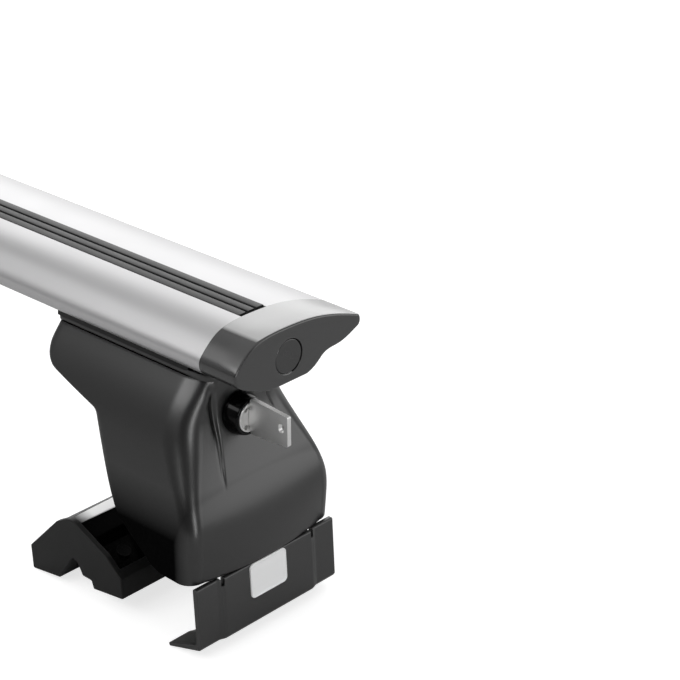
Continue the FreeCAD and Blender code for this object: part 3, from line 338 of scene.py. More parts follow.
@dataclass
class Shape:
    """A mesh being put together from grids, in millimetres of the part's frame."""

    points: list[Array] = field(default_factory=list)
    faces: list = field(default_factory=list)

    def _add(self, points: Array) -> int:
        """Adds points and returns the number of those before them."""
        before = sum(len(block) for block in self.points)
        self.points.append(points.reshape(-1, 3))
        return before

    def tube(self, rings: Array, lids: bool = True) -> "Shape":
        """Adds closed rings joined by quads, with a flat lid over each end.

        Args:
            rings: Points as (ring, place round it, axis).
            lids: Whether the ends are closed.

        Returns:
            The shape itself.
        """
        count, around = rings.shape[:2]
        first = self._add(rings)
        place = first + np.arange(count * around).reshape(count, around)
        beside = np.roll(place, -1, 1)
        quads = np.stack([place[:-1], beside[:-1], beside[1:], place[1:]], -1).reshape(-1, 4)
        self.faces += quads.tolist()
        if lids:
            self.faces += [place[0, ::-1].tolist(), place[-1].tolist()]
        return self

    def pierced(self, loops: list[Array], stations: Array, lay: Callable[[Array, float], Array]) -> "Shape":
        """Adds a prism whose section has holes: walls over every loop and triangulated lids.

        Args:
            loops: The outer outline, then the holes', as plane points.
            stations: Places along the prism.
            lay: Maps (plane points, station) to points of the frame.

        Returns:
            The shape itself.
        """
        sizes = np.array([len(loop) for loop in loops])
        starts = np.concatenate([[0], np.cumsum(sizes)[:-1]])
        plane = np.concatenate(loops)
        first = self._add(np.stack([lay(plane, station) for station in stations]))
        edges = []
        for start, size in zip(starts, sizes):
            here = start + np.arange(size)
            beside = start + (np.arange(size) + 1) % size
            edges.append(np.stack([here, beside], 1))
            for level in range(len(stations) - 1):
                low, high = first + level * len(plane), first + (level + 1) * len(plane)
                self.faces += np.stack([low + here, low + beside, high + beside, high + here], 1).tolist()
        bound = np.concatenate(edges).tolist()
        lid = np.array(delaunay_2d_cdt([Vector(p) for p in plane.tolist()], bound, [], 1, 1e-7, False)[2])
        middles = plane[lid].mean(1)
        held = np.all([~within(hole, middles) for hole in loops[1:]], axis=0) & within(loops[0], middles)
        lid = lid[held]
        self.faces += (first + lid[:, ::-1]).tolist()
        self.faces += (first + (len(stations) - 1) * len(plane) + lid).tolist()
        return self

    def piece(self, name: str, body: str, sharp: float = 38.0) -> bpy.types.Object:
        """Makes the Blender object, with outward faces, and lets it ride on a body.

        Args:
            name: The piece's name.
            body: The CAD body that carries it.
            sharp: Angle in degrees above which an edge is drawn sharp.

        Returns:
            The new object, at the origin.
        """
        mesh = bpy.data.meshes.new(name)
        mesh.from_pydata((np.concatenate(self.points) * MM).tolist(), [], self.faces)
        work = bmesh.new()
        work.from_mesh(mesh)
        bmesh.ops.remove_doubles(work, verts=work.verts, dist=1e-8)
        bmesh.ops.recalc_face_normals(work, faces=work.faces)
        work.to_mesh(mesh)
        work.free()
        mesh.shade_smooth()
        mesh.set_sharp_from_angle(angle=math.radians(sharp))
        made = bpy.data.objects.new(name, mesh)
        bpy.context.scene.collection.objects.link(made)
        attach(made, body)
        return made


def soft_ends(outline: Array, low: float, high: float, edge: float, steps: int = 4) -> tuple[Array, Array]:
    """Sections and stations of a prism whose end edges are rounded.

    The outline shrinks by edge (1 - sin a) while the station moves by edge (1 - cos a) as a goes through a
    quarter turn; one more level just inside keeps the ends flat.

    Args:
        outline: The full section.
        low: Lowest station.
        high: Highest station.
        edge: Radius of the end edges.
        steps: Levels in each quarter turn.

    Returns:
        The sections as (level, point, 2) and the stations of the levels.
    """
    a = quarter(steps)
    sunk = np.concatenate([[1.35], 1 - np.sin(a)]) * edge
    moved = np.concatenate([[0.0], 1 - np.cos(a)]) * edge
    sections = np.stack([inset(outline, depth) for depth in sunk])
    return np.concatenate([sections, sections[::-1]]), np.concatenate([low + moved, high - moved[::-1]])


def stepped(outline: Array, levels: list[tuple]) -> Array:
    """Rings of a form that steps in from its outline as it goes up.

    Args:
        outline: The full outline, as plane points.
        levels: (depth inwards, height) of each ring; a height may be one number or one for each point.

    Returns:
        The rings' points as (ring, place, axis), the height last.
    """
    return np.stack([np.column_stack([inset(outline, depth), np.broadcast_to(height, len(outline))])
                     for depth, height in levels])


def turned(profile: list[tuple], count: int, centre: tuple = (0.0, 0.0)) -> Array:
    """Rings of a turned form about the X direction.

    Args:
        profile: (x, radius) pairs along the form.
        count: Points round each ring.
        centre: (y, z) of the axis.

    Returns:
        The rings' points as (ring, place, axis).
    """
    table = np.array(profile, float)
    ring = circle(1.0, count)
    rings = np.empty((len(table), count, 3))
    rings[..., 0] = table[:, 0:1]
    rings[..., 1:] = table[:, 1, None, None] * ring + np.array(centre)
    return rings


def carve(piece: bpy.types.Object, tools: list[Shape], sharp: float = 38.0) -> None:
    """Takes closed shapes out of a piece and leaves plain mesh behind.

    Args:
        piece: The piece.
        tools: The closed shapes.
        sharp: Angle in degrees above which an edge is drawn sharp.
    """
    cutters = [tool.piece("cutter", "bar") for tool in tools]
    for cutter in cutters:
        taken = piece.modifiers.new("taken", "BOOLEAN")
        taken.operation, taken.object, taken.solver = "DIFFERENCE", cutter, "EXACT"
    graph = bpy.context.evaluated_depsgraph_get()
    made = bpy.data.meshes.new_from_object(piece.evaluated_get(graph))
    piece.modifiers.clear()
    old, piece.data = piece.data, made
    bpy.data.meshes.remove(old)
    for cutter in cutters:
        bpy.data.meshes.remove(cutter.data)
    made.set_sharp_from_angle(angle=math.radians(sharp))


def soften(piece: bpy.types.Object, width: float, sharp: float) -> None:
    """Rounds the sharp edges of a piece in two steps.

    Args:
        piece: The piece.
        width: Width of the rounding in millimetres.
        sharp: Angle in degrees above which an edge is rounded.
    """
    soft = piece.modifiers.new("soft_edges", "BEVEL")
    soft.width, soft.segments, soft.use_clamp_overlap = width * MM, 2, True
    soft.limit_method, soft.angle_limit = "ANGLE", math.radians(sharp)


# Node trees


class Tree:
    """A node tree that is filled by name."""

    def __init__(self, tree: bpy.types.NodeTree) -> None:
        """Keeps the tree."""
        self.tree = tree

    def feed(self, target: bpy.types.NodeSocket, value: Value) -> None:
        """Links a socket to an input, or sets the input's own value.

        Args:
            target: The input.
            value: The socket or the value.
        """
        if isinstance(value, bpy.types.NodeSocket):
            self.tree.links.new(value, target)
        else:
            target.default_value = value

    def add(self, kind: str, settings: dict | None = None, **inputs: Value) -> bpy.types.Node:
        """Adds a node.

        Args:
            kind: The node's type without its ShaderNode prefix.
            settings: Properties of the node.
            **inputs: Values or sockets for its inputs; an underscore stands for a space, and i0, i1 and so on
                for the input of that number.

        Returns:
            The new node.
        """
        node = self.tree.nodes.new(kind if kind.startswith("NodeGroup") else "ShaderNode" + kind)
        for key, value in (settings or {}).items():
            setattr(node, key, value)
        for key, value in inputs.items():
            numbered = key[0] == "i" and key[1:].isdigit()
            self.feed(node.inputs[int(key[1:]) if numbered else key.replace("_", " ")], value)
        return node

    def math(self, operation: str, first: Value, second: Value = 0.0) -> bpy.types.NodeSocket:
        """Adds a Math node and returns its result."""
        return self.add("Math", {"operation": operation}, i0=first, i1=second).outputs[0]

    def dot(self, first: Value, second: Value) -> bpy.types.NodeSocket:
        """Adds the dot product of two directions and returns it."""
        return self.add("VectorMath", {"operation": "DOT_PRODUCT"}, i0=first, i1=second).outputs["Value"]

    def halves(self, first: Value, second: Value) -> bpy.types.NodeSocket:
        """Adds half of one value and half of another and returns the sum."""
        return self.math("ADD", self.math("MULTIPLY", first, 0.5), self.math("MULTIPLY", second, 0.5))

    def mix(self, share: Value, first: Value, second: Value) -> bpy.types.NodeSocket:
        """Adds a colour mix.

        Args:
            share: Share of the second colour.
            first: The first colour.
            second: The second colour.

        Returns:
            The mixed colour.
        """
        node = self.add("Mix", {"data_type": "RGBA"})
        for place, value in ((0, share), (6, first), (7, second)):
            self.feed(node.inputs[place], value)
        return node.outputs[2]

    def span(
        self, value: Value, low: float, high: float, to_low: float = 0.0, to_high: float = 1.0
    ) -> bpy.types.NodeSocket:
        """Maps a value from one range to another, held at the ends."""
        return self.add("MapRange", None, i0=value, i1=low, i2=high, i3=to_low, i4=to_high).outputs[0]

    def group(self, node_tree: bpy.types.NodeTree, **inputs: Value) -> bpy.types.bpy_prop_collection:
        """Adds a shared group and returns its outputs."""
        return self.add("Group", {"node_tree": node_tree}, **inputs).outputs


def new_group(
    name: str, numbers: tuple[str, ...], vectors: tuple[str, ...] = ()
) -> tuple[Tree, dict[str, bpy.types.NodeSocket]]:
    """Starts a shader group whose first input is the place on the surface.

    Args:
        name: The group's name.
        numbers: Names of its number inputs.
        vectors: Names of its further vector inputs.

    Returns:
        The tree and the group's input sockets by name.
    """
    group = bpy.data.node_groups.new(name, "ShaderNodeTree")
    kinds = [(label, "NodeSocketVector") for label in ("Vector", *vectors)]
    for label, kind in kinds + [(label, "NodeSocketFloat") for label in numbers]:
        group.interface.new_socket(label, in_out="INPUT", socket_type=kind)
    tree = Tree(group)
    return tree, {socket.name: socket for socket in tree.add("NodeGroupInput").outputs if socket.name}


def close_group(tree: Tree, **outputs: bpy.types.NodeSocket) -> bpy.types.NodeTree:
    """Gives a shader group its number outputs.

    Args:
        tree: The group's tree.
        **outputs: The socket for each output's name.

    Returns:
        The finished group.
    """
    for label in outputs:
        tree.tree.interface.new_socket(label, in_out="OUTPUT", socket_type="NodeSocketFloat")
    tree.add("NodeGroupOutput", None, **outputs)
    return tree.tree


class Effects:
    """Shared surface effects, each a shader group that is built once."""

    def __init__(self) -> None:
        """Builds every group."""
        self.grain = self._grain()
        self.drawn = self._drawn()
        self.handling = self._handling()
        self.edges = self._edges()

    @staticmethod
    def _grain() -> bpy.types.NodeTree:
        """Fine pebble of a moulded surface: rounded cells broken up by noise.

        The height is 0.6 of the distance to the nearest cell's middle plus the noise, and the mask is the
        noise from 0.35 to 0.65 stretched to the whole range.

        Returns:
            The group, with the outputs Height and Mask.
        """
        tree, sockets = new_group("moulded_grain", ("Scale",))
        cells = tree.add("TexVoronoi", {"feature": "SMOOTH_F1"}, **sockets)
        noise = tree.add("TexNoise", None, Vector=sockets["Vector"], Detail=3.0,
                         Scale=tree.math("MULTIPLY", sockets["Scale"], 0.6)).outputs[0]
        height = tree.math("ADD", tree.math("MULTIPLY", cells.outputs[0], 0.6), noise)
        return close_group(tree, Height=height, Mask=tree.span(noise, 0.35, 0.65))

    @staticmethod
    def _drawn() -> bpy.types.NodeTree:
        """Long fine lines left by drawing or brushing.

        The place is multiplied by the stretch, axis by axis, so that noise read there is drawn out along
        the axis with the smallest one. The height is fine noise; the mask is half of it and half of a broad one.

        Returns:
            The group, with the outputs Height and Mask.
        """
        tree, sockets = new_group("drawn_lines", ("Scale",), ("Stretch",))
        long = tree.add("VectorMath", {"operation": "MULTIPLY"}, i0=sockets["Vector"], i1=sockets["Stretch"])
        fine = tree.add("TexNoise", None, Vector=long.outputs[0], Scale=sockets["Scale"], Detail=4.0).outputs[0]
        broad = tree.add("TexNoise", None, Vector=long.outputs[0], Detail=1.0,
                         Scale=tree.math("MULTIPLY", sockets["Scale"], 0.17)).outputs[0]
        return close_group(tree, Height=fine, Mask=tree.halves(fine, broad))

    @staticmethod
    def _handling() -> bpy.types.NodeTree:
        """Soft broad patches where hands and cloths change the gloss: slow noise, stretched in range.

        Returns:
            The group, with the output Mask.
        """
        tree, sockets = new_group("handling", ("Scale",))
        noise = tree.add("TexNoise", None, Detail=3.0, Distortion=0.4, **sockets).outputs[0]
        return close_group(tree, Mask=tree.span(noise, 0.3, 0.7))

    @staticmethod
    def _edges() -> bpy.types.NodeTree:
        """Worn edges that also carry a painted edge highlight: where the normal of a rounded copy leaves the true
        normal.

        The mask rises as the dot product of both normals falls from 0.97 to 0.75, times noise that breaks
        it up.

        Returns:
            The group, with the output Mask.
        """
        tree, sockets = new_group("rubbed_edges", ("Reach",))
        rounded = tree.add("Bevel", {"samples": 4}, Radius=sockets["Reach"]).outputs[0]
        agree = tree.dot(rounded, tree.add("NewGeometry").outputs["Normal"])
        noise = tree.add("TexNoise", None, Vector=sockets["Vector"], Scale=300.0, Detail=2.0).outputs[0]
        broken = tree.span(noise, 0.35, 0.6, 0.3)
        return close_group(tree, Mask=tree.math("MULTIPLY", tree.span(agree, 0.97, 0.75), broken))


def grey(level: float, tint: tuple = (1.0, 1.0, 1.0)) -> tuple:
    """A linear colour from a display grey and a tint.

    The share of full white goes through the display curve: (share + 0.055) / 1.055 to the power of 2.4,
    and share / 12.92 near black.

    Args:
        level: The grey, 0 to 255.
        tint: Factors of red, green and blue.

    Returns:
        The colour, with full opacity.
    """
    share = level / 255
    linear = share / 12.92 if share <= 0.04045 else ((share + 0.055) / 1.055) ** 2.4
    return (linear * tint[0], linear * tint[1], linear * tint[2], 1.0)


@dataclass(frozen=True)
class Finish:
    """What every finish has: its names, its tones and its gloss.

    Tones are display greys. The two tones are mixed by the pattern's mask, and the edge's tone lies on rounded
    edges, both as wear and as a painted edge highlight. A top highlight tone is a painted highlight that replaces
    both where the surface faces up, and its coat, a painted gloss, lies there alone. A painted shade band says
    where the coat lies, so that taking the coat away paints shade low down: the coat grows with the height from the
    band's first to its second value in metres, and with the distance from the bar's middle from its third to its
    fourth.
    """

    name: str
    slot: str
    tone: float = 60.0
    other_tone: float = 70.0
    roughness: float = 0.4
    roughness_spread: float = 0.08
    metallic: float = 0.0
    tint: tuple = (1.0, 1.0, 1.0)
    edge_tone: float = 110.0
    edge_share: float = 0.5
    edge_reach: float = 0.0007
    bump: float = 0.1
    bump_depth: float = 0.0001
    grain_scale: float = 900.0
    coat: float = 0.0
    coat_roughness: float = 0.1
    specular: float = 0.5
    # painted highlight on faces that point up: its tone, the range of facing over which it comes in, and its own
    # coat
    top_tone: float = 0.0
    top_range: tuple = (0.85, 0.905)
    top_coat: float = 0.0
    coat_ior: float = 1.5
    # painted shade band: where the coat is taken away low down on the side
    film: tuple = ()

    def pattern(self, tree: Tree, effects: Effects, place: bpy.types.NodeSocket) -> tuple:
        """Height and mask of the finish's own pattern; a plain finish has a moulded grain."""
        outputs = tree.group(effects.grain, Vector=place, Scale=self.grain_scale)
        return outputs["Height"], outputs["Mask"]

    def upward(self, tree: Tree) -> bpy.types.NodeSocket:
        """Share of the painted top highlight: the normal's product with a way up and slightly back, over its range.
        """
        return tree.span(tree.dot(tree.add("NewGeometry").outputs["Normal"], (0.0, 0.35, 1.0)), *self.top_range)

    def filmed(self, tree: Tree, place: bpy.types.NodeSocket) -> bpy.types.NodeSocket:
        """Weight of the coat, taken away low down on the side to paint shade there: the greater of its shares by
        height and by distance.

        Args:
            tree: The material's tree.
            place: The place on the surface.

        Returns:
            The weight.
        """
        low, high, inner, outer = self.film
        across, _, up = tree.add("SeparateXYZ", None, i0=place).outputs
        upper = tree.span(up, low, high)
        end_face = tree.span(tree.math("ABSOLUTE", across), inner, outer)
        return tree.math("MULTIPLY", tree.math("MAXIMUM", upper, end_face), self.coat)

    def material(self, effects: Effects) -> bpy.types.Material:
        """Builds the material.

        Args:
            effects: The shared groups.

        Returns:
            The material, named after the finish.
        """
        made = bpy.data.materials.new(self.name)
        made.use_nodes = True
        made.node_tree.nodes.clear()
        tree = Tree(made.node_tree)
        place = tree.add("TexCoord").outputs["Object"]
        height, mask = self.pattern(tree, effects, place)
        patches = tree.group(effects.handling, Vector=place, Scale=30.0)["Mask"]
        edges = tree.group(effects.edges, Vector=place, Reach=self.edge_reach)["Mask"]
        tones = tree.mix(mask, grey(self.tone, self.tint), grey(self.other_tone, self.tint))
        # painted shade: where a shade band is given, the coat falls away low down on the side
        coat = self.filmed(tree, place) if self.film else self.coat
        # painted highlight: faces that point up get a lighter tone and, with a top coat, a gloss of their own,
        # standing in for the reflection of the lights above
        if self.top_tone:
            top_highlight = self.upward(tree)
            tones = tree.mix(top_highlight, tones, grey(self.top_tone, self.tint))
            if self.top_coat:
                coat = tree.math("MULTIPLY", top_highlight, self.top_coat)
        # edge wear and a painted edge highlight: a lighter tone mixed in on rounded edges
        edge_wear_and_highlight = tree.math("MULTIPLY", edges, self.edge_share)
        colour = tree.mix(edge_wear_and_highlight, tones, grey(self.edge_tone, self.tint))
        spread = self.roughness_spread
        rough = tree.span(tree.halves(patches, mask), 0.0, 1.0, self.roughness - spread, self.roughness + spread)
        bump = tree.add("Bump", None, Strength=self.bump, Distance=self.bump_depth, Height=height)
        shader = tree.add("BsdfPrincipled", None, Base_Color=colour, Roughness=rough, Metallic=self.metallic,
                          Normal=bump.outputs[0], Coat_Weight=coat, Coat_Roughness=self.coat_roughness,
                          Coat_IOR=self.coat_ior, Specular_IOR_Level=self.specular)
        tree.add("OutputMaterial", None, Surface=shader.outputs[0])
        return made


@dataclass(frozen=True)
class DrawnMetal(Finish):
    """A metal with fine lines along one axis."""

    stretch: tuple = (1.0, 60.0, 60.0)
    line_scale: float = 20.0

    def pattern(self, tree: Tree, effects: Effects, place: bpy.types.NodeSocket) -> tuple:
        """Height and mask of the drawn lines."""
        outputs = tree.group(effects.drawn, Vector=place, Stretch=self.stretch, Scale=self.line_scale)
        return outputs["Height"], outputs["Mask"]


class Wardrobe:
    """All finishes of the part and their materials."""

    def __init__(self) -> None:
        """Builds the groups and every material."""
        effects = Effects()
        self.finishes = {finish.name: finish for finish in (
            DrawnMetal("anodised_aluminium", "bar_aluminium", 194, 200, 0.38, 0.03, 0.85, (0.995, 0.99, 1.0),
                       240, 0.3, 0.0004, 0.05, 0.00003),
            Finish("ribbed_rubber", "strip_rubber", 26, 32, 0.45, 0.05, edge_tone=55, grain_scale=1500,
                   specular=0.55),
            # the cap's lighter top is a painted reflection of the bright panel behind
            Finish("cap_plastic", "cap_plastic", 33, 36, 0.24, 0.02, edge_tone=60, grain_scale=2200,
                   bump=0.03, specular=1.0, top_tone=182),
            Finish("plug_plastic", "cap_plastic", 25, 28, 0.26, 0.02, edge_tone=50, grain_scale=2200,
                   bump=0.03, specular=0.85),
            # the coat falls away low down on the cover's side and inner end as painted shade
            Finish("cover_plastic", "black_plastic", 8, 11, 0.40, 0.03, edge_tone=45, grain_scale=1100,
                   bump=0.15, specular=0.0, coat=1.0, coat_roughness=0.30, coat_ior=1.72,
                   film=(0.060, 0.082, 0.573, 0.5805)),
            Finish("gloss_plastic", "gloss_black", 2, 3, 0.12, 0.02, edge_tone=24, bump=0.02, specular=0.15),
            Finish("pad_rubber", "black_rubber", 16, 20, 0.45, 0.05, edge_tone=40, grain_scale=1300, bump=0.1,
                   specular=0.3),
            # the rail's lighter, glossier top is a painted highlight along its ridge
            Finish("rail_paint", "black_steel", 2, 3, 0.16, 0.03, edge_tone=60, edge_share=0.3,
                   grain_scale=500, bump=0.03, specular=0.15, top_tone=200, top_range=(0.945, 0.96),
                   top_coat=1.0, coat_roughness=0.12, coat_ior=2.4),
            Finish("painted_steel", "black_steel", 17, 21, 0.30, 0.03, edge_tone=120, grain_scale=500,
                   bump=0.02, bump_depth=0.00005, specular=0.9),
            DrawnMetal("zinc_steel", "zinc_steel", 190, 206, 0.35, 0.08, 1.0, (1.0, 0.99, 0.96),
                       225, 0.4, 0.0004, 0.1, 0.00003, stretch=(30.0, 30.0, 30.0), line_scale=30.0),
            # its bright edges are largely a painted rim highlight
            DrawnMetal("lock_nickel", "lock_nickel", 222, 236, 0.40, 0.06, 0.92, (1.0, 0.998, 0.99),
                       245, 0.6, 0.0005, 0.06, 0.00002, stretch=(8.0, 8.0, 50.0), line_scale=60.0),
            DrawnMetal("badge_silver", "badge_silver", 248, 253, 0.32, 0.05, 0.1, (0.995, 0.998, 1.0),
                       250, 0.5, 0.0004, 0.08, 0.00002, stretch=(40.0, 2.0, 40.0), line_scale=40.0),
        )}
        self.materials = {name: finish.material(effects) for name, finish in self.finishes.items()}

    def dress(self, piece: bpy.types.Object, name: str) -> bpy.types.Object:
        """Gives a piece a finish.

        Args:
            piece: The piece.
            name: The finish's name.

        Returns:
            The piece itself.
        """
        piece.data.materials.clear()
        piece.data.materials.append(self.materials[name])
        return piece

    def dress_node(self, node: bpy.types.Object, name: str) -> None:
        """Gives a CAD node that stays a finish."""
        for slot in node.material_slots:
            slot.material = self.materials[name]


# The wing section, shared by the bar, its caps and the gasket


@dataclass
class Wing:
    """The bar's section about its reference line, in millimetres.

    The stretches hold shares: across of the nose's or the tip's reach, up of the crown's or the keel's.
    """

    nose: float = 33.5
    tip: float = 47.0
    crown: float = 14.75
    keel: float = 13.0
    shift: float = 0.75
    height: float = 144.8
    top: tuple = ((-1.0, 0.048), (-0.901, 0.408), (-0.648, 0.837), (-0.351, 0.985), (0.0, 1.0),
                  (0.334, 0.929), (0.683, 0.678), (0.966, 0.359))
    end: tuple = ((0.966, 0.359), (1.0, 0.163), (0.962, -0.069))
    rear: tuple = ((0.962, -0.069), (0.715, -0.388), (0.481, -0.531), (0.404, -0.738), (0.306, -0.938),
                   (0.235, -1.0))
    front: tuple = ((-0.27, -1.0), (-0.475, -0.908), (-0.663, -0.723), (-0.83, -0.519), (-0.955, -0.285),
                    (-1.0, 0.048))
    shoulder_way: tuple = (0.93, -0.36)
    tail_way: tuple = (-0.92, -0.38)
    over: int = 150

    def _stretch(self, shares: tuple, first: tuple, last: tuple, count: int) -> Array:
        """One smooth stretch of the outline: its shares times the reaches, then a curve through them.

        Args:
            shares: The shares.
            first: Direction at the start.
            last: Direction at the end.
            count: Number of samples.

        Returns:
            The samples, one row each.
        """
        table = np.array(shares)
        across = np.where(table[:, 0] > 0, self.tip, self.nose)
        up = np.where(table[:, 1] < 0, self.keel, self.crown)
        return curve_through(table * np.stack([across, up], 1), first, last, count)

    def upper(self) -> Array:
        """The upper line from the nose to the tip's shoulder."""
        return self._stretch(self.top, (0, 1), self.shoulder_way, self.over)

    def outline(self) -> Array:
        """The whole closed outline: over the top, round the tip and back underneath.

        Returns:
            Its points; the first ones, as many as over says, run from the nose to the tip's shoulder.
        """
        end = self._stretch(self.end, self.shoulder_way, self.tail_way, 24)
        rear = self._stretch(self.rear, self.tail_way, (-1, 0), 70)
        front = self._stretch(self.front, (-1, 0), (0, 1), 80)
        floor = np.linspace(rear[-1], front[0], 12)
        return np.concatenate([self.upper()[:-1], end[:-1], rear[:-1], floor[:-1], front[:-1]])

    def lower_at(self, across: Array) -> Array:
        """Height of the lower line over the reference line at places across."""
        return height_at(self.outline()[self.over:], across)

    def room(self, depth: float, first: float, last: float) -> Array:
        """Closed outline of a chamber inside the wing.

        Args:
            depth: Thickness of the wall round it.
            first: Where it begins, across.
            last: Where it ends.

        Returns:
            The outline's points.
        """
        inner = inset(self.outline(), depth)
        across = np.linspace(first, last, 24)
        high, low = height_at(inner[:self.over], across), height_at(inner[self.over:], across)
        return np.concatenate([np.stack([across, high], 1), np.stack([across, low], 1)[::-1]])

    def lay(self, plane: Array, along: float) -> Array:
        """Points of the frame from section points at a place along the bar."""
        return np.column_stack([np.full(len(plane), along), plane + (self.shift, self.height)])


@dataclass
class CrossBar:
    """The extruded bar and the ribbed strip in its top slot."""

    wing: Wing
    wardrobe: Wardrobe
    length: float = 1200.0
    cap_length: float = 22.4
    wall: float = 1.8
    core: float = 13.6
    nose_room: float = -27.7
    tail_room: float = 36.2
    bore: float = 2.5
    slot_middle: float = 0.75
    slot_half: float = 7.85
    slot_steps: tuple = ((7.85, 13.05), (5.5, 13.05), (5.5, 11.25), (11.0, 11.25), (11.0, 4.65))
    channel_middle: float = -1.5
    channel_steps: tuple = ((5.2, -13.0), (5.2, -10.4), (10.0, -10.4), (10.0, -4.2))
    strip_gap: float = 1.6
    strip_half: float = 7.75
    strip_top: float = 15.1

    def profile(self) -> Array:
        """The outer outline with the strip's slot let in above and the bolt channel below.

        Returns:
            The profile's points.
        """
        loop = self.wing.outline()
        over, under = loop[:self.wing.over], loop[self.wing.over:]
        mouth = self.slot_middle - self.slot_half, self.slot_middle + self.slot_half
        rise = np.stack([mouth, height_at(self.wing.upper(), mouth)], 1)
        slot = [rise[:1], undercut(self.slot_middle, self.slot_steps, 1), rise[1:]]
        flat = np.flatnonzero(under[:, 1] < 0.001 - self.wing.keel)
        channel = undercut(self.channel_middle, self.channel_steps, -1)
        upper = [over[over[:, 0] < mouth[0]], *slot, over[over[:, 0] > mouth[1]]]
        return np.concatenate([*upper, under[:flat[0] + 1], channel, under[flat[-1]:]])

    def build_bar(self) -> bpy.types.Object:
        """The bar: its profile carried along X, with two chambers and a screw bore inside.

        Returns:
            The bar.
        """
        half = self.length / 2 - self.cap_length
        rooms = [self.wing.room(self.wall, self.nose_room, -self.core),
                 self.wing.room(self.wall, self.core, self.tail_room)]
        loops = [self.profile(), *rooms, circle(self.bore, 32)]
        shape = Shape().pierced(loops, np.linspace(-half, half, 9), self.wing.lay)
        piece = shape.piece("Wing_bar", "bar", 30.0)
        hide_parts("wing_bar")
        return self.wardrobe.dress(piece, "anodised_aluminium")

    def build_strip(self) -> bpy.types.Object:
        """The strip: three rounded ribs over a flange, a neck and a barbed foot, carried along X.

        Returns:
            The strip.
        """
        half, top = self.strip_half, self.strip_top
        flange, lips, barb_foot, floor = 13.15, 11.15, 8.55, 14.0
        neck, barb, toe = 5.4, 7.7, 4.2
        groove_half, rib = 0.6, 5.1667
        corners = [(-half, flange, 0.1), (-half, top - 0.1, 0.5)]
        for groove in (-half + rib, half - rib):
            near, far = groove - groove_half, groove + groove_half
            corners += [(near, top, 0.4), (near, floor, 0.15), (far, floor, 0.15), (far, top, 0.4)]
        corners += [
            (half, top - 0.1, 0.5), (half, flange, 0.1), (neck, flange, 0), (neck, lips, 0), (barb, lips, 0.1),
            (toe, barb_foot, 0.3), (-toe, barb_foot, 0.3), (-barb, lips, 0.1), (-neck, lips, 0), (-neck, flange, 0),
        ]
        outline = fillet(corners, 4) + (self.slot_middle, 0.0)
        reach = self.length / 2 - self.cap_length - self.strip_gap
        stations = np.linspace(-reach, reach, 9)
        shape = Shape().tube(np.stack([self.wing.lay(outline, along) for along in stations]))
        piece = shape.piece("Top_strip", "bar", 35.0)
        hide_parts("top_strip")
        return self.wardrobe.dress(piece, "ribbed_rubber")


@dataclass
class EndCap:
    """The moulded cap on one end of the bar, with the round plug over its screw."""

    side: Side
    wing: Wing
    wardrobe: Wardrobe
    bar_end: float = 600.0
    outer: float = 599.98
    length: float = 22.4
    midway: float = 12.0
    edge: float = 1.2
    plug: float = 8.2
    groove: float = 0.3
    sunk: float = 3.3

    def build_cap(self) -> bpy.types.Object:
        """The cap: the wing outline carried outwards, a rounded rim, then a face that runs in to the recess.

        The rim's outline shrinks by edge (1 - cos a) as the station falls short of the end by edge (1 - sin a).
        The face is a blend from the rim to a circle at the same angle about the plug's axis.

        Returns:
            The cap.
        """
        outline = self.wing.outline() * 0.9995
        a = quarter(6)
        body = [self.bar_end - self.length, self.bar_end - self.midway]
        stations = np.concatenate([body, self.outer - self.edge * (1 - np.sin(a))])
        depths = np.concatenate([[0.0, 0.0], self.edge * (1 - np.cos(a))])
        rings = [self.wing.lay(inset(outline, depth), at) for depth, at in zip(depths, stations)]
        rim = inset(outline, self.edge)
        ways = unit(rim)
        mouth, lip = self.plug + self.groove, 0.25
        for share in (0.06, 0.3, 0.7, 0.97):
            rings.append(self.wing.lay(rim + (ways * mouth - rim) * share, self.outer))
        recess = ((mouth + 0.08, 0.02), (mouth, lip), (mouth, self.sunk), (mouth - 1.0, self.sunk))
        for radius, back in recess:
            rings.append(self.wing.lay(ways * radius, self.outer - back))
        grid = np.stack(rings)
        grid[..., 0] *= self.side.value
        piece = Shape().tube(grid).piece(self.side.prefix + "cap", "bar", 34.0)
        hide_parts(self.side.prefix + "end_cap")
        return self.wardrobe.dress(piece, "cap_plastic")

    def build_plug(self) -> bpy.types.Object:
        """The plug: a turned disc with a rounded rim and a flat face that sinks a little to its middle.

        Returns:
            The plug.
        """
        end, radius = self.outer - 0.28, self.plug
        profile = [
            (end - 2.9, 0.4), (end - 2.9, radius), (end - 0.45, radius), (end - 0.13, radius - 0.13),
            (end, radius - 0.45), (end, radius - 0.9), (end - 0.03, radius - 2.5), (end - 0.06, 0.4),
        ]
        rings = turned(profile, 72, (self.wing.shift, self.wing.height))
        rings[..., 0] *= self.side.value
        piece = Shape().tube(rings).piece(self.side.prefix + "cap_disc", "bar", 50.0)
        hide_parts(self.side.prefix + "cap_plug")
        return self.wardrobe.dress(piece, "plug_plastic")


@dataclass
class FootFrame:
    """Where one foot stands, and the bodies of its pieces."""

    side: Side
    place: float = 571.0
    shift: float = -0.75

    def lay(self, u: Array, y: Array, z: Array) -> Array:
        """Points of the frame from the foot's own places: u outwards, y across, z up."""
        u, y, z = np.broadcast_arrays(np.asarray(u, float), y, z)
        return np.stack([self.side.value * (u + self.place), y + self.shift, z], -1)

    def lay_points(self, points: Array) -> Array:
        """Points of the frame from the foot's own points (u, y, z)."""
        return self.lay(points[..., 0], points[..., 1], points[..., 2])

    def lay_sections(self, sections: Array, stations: Array) -> Array:
        """Points of the frame from upright (u, z) sections, one at each station across."""
        return self.lay(sections[..., 0], stations[:, None], sections[..., 1])

    def body(self, name: str) -> str:
        """Full name of a body of this foot."""
        return self.side.prefix + name


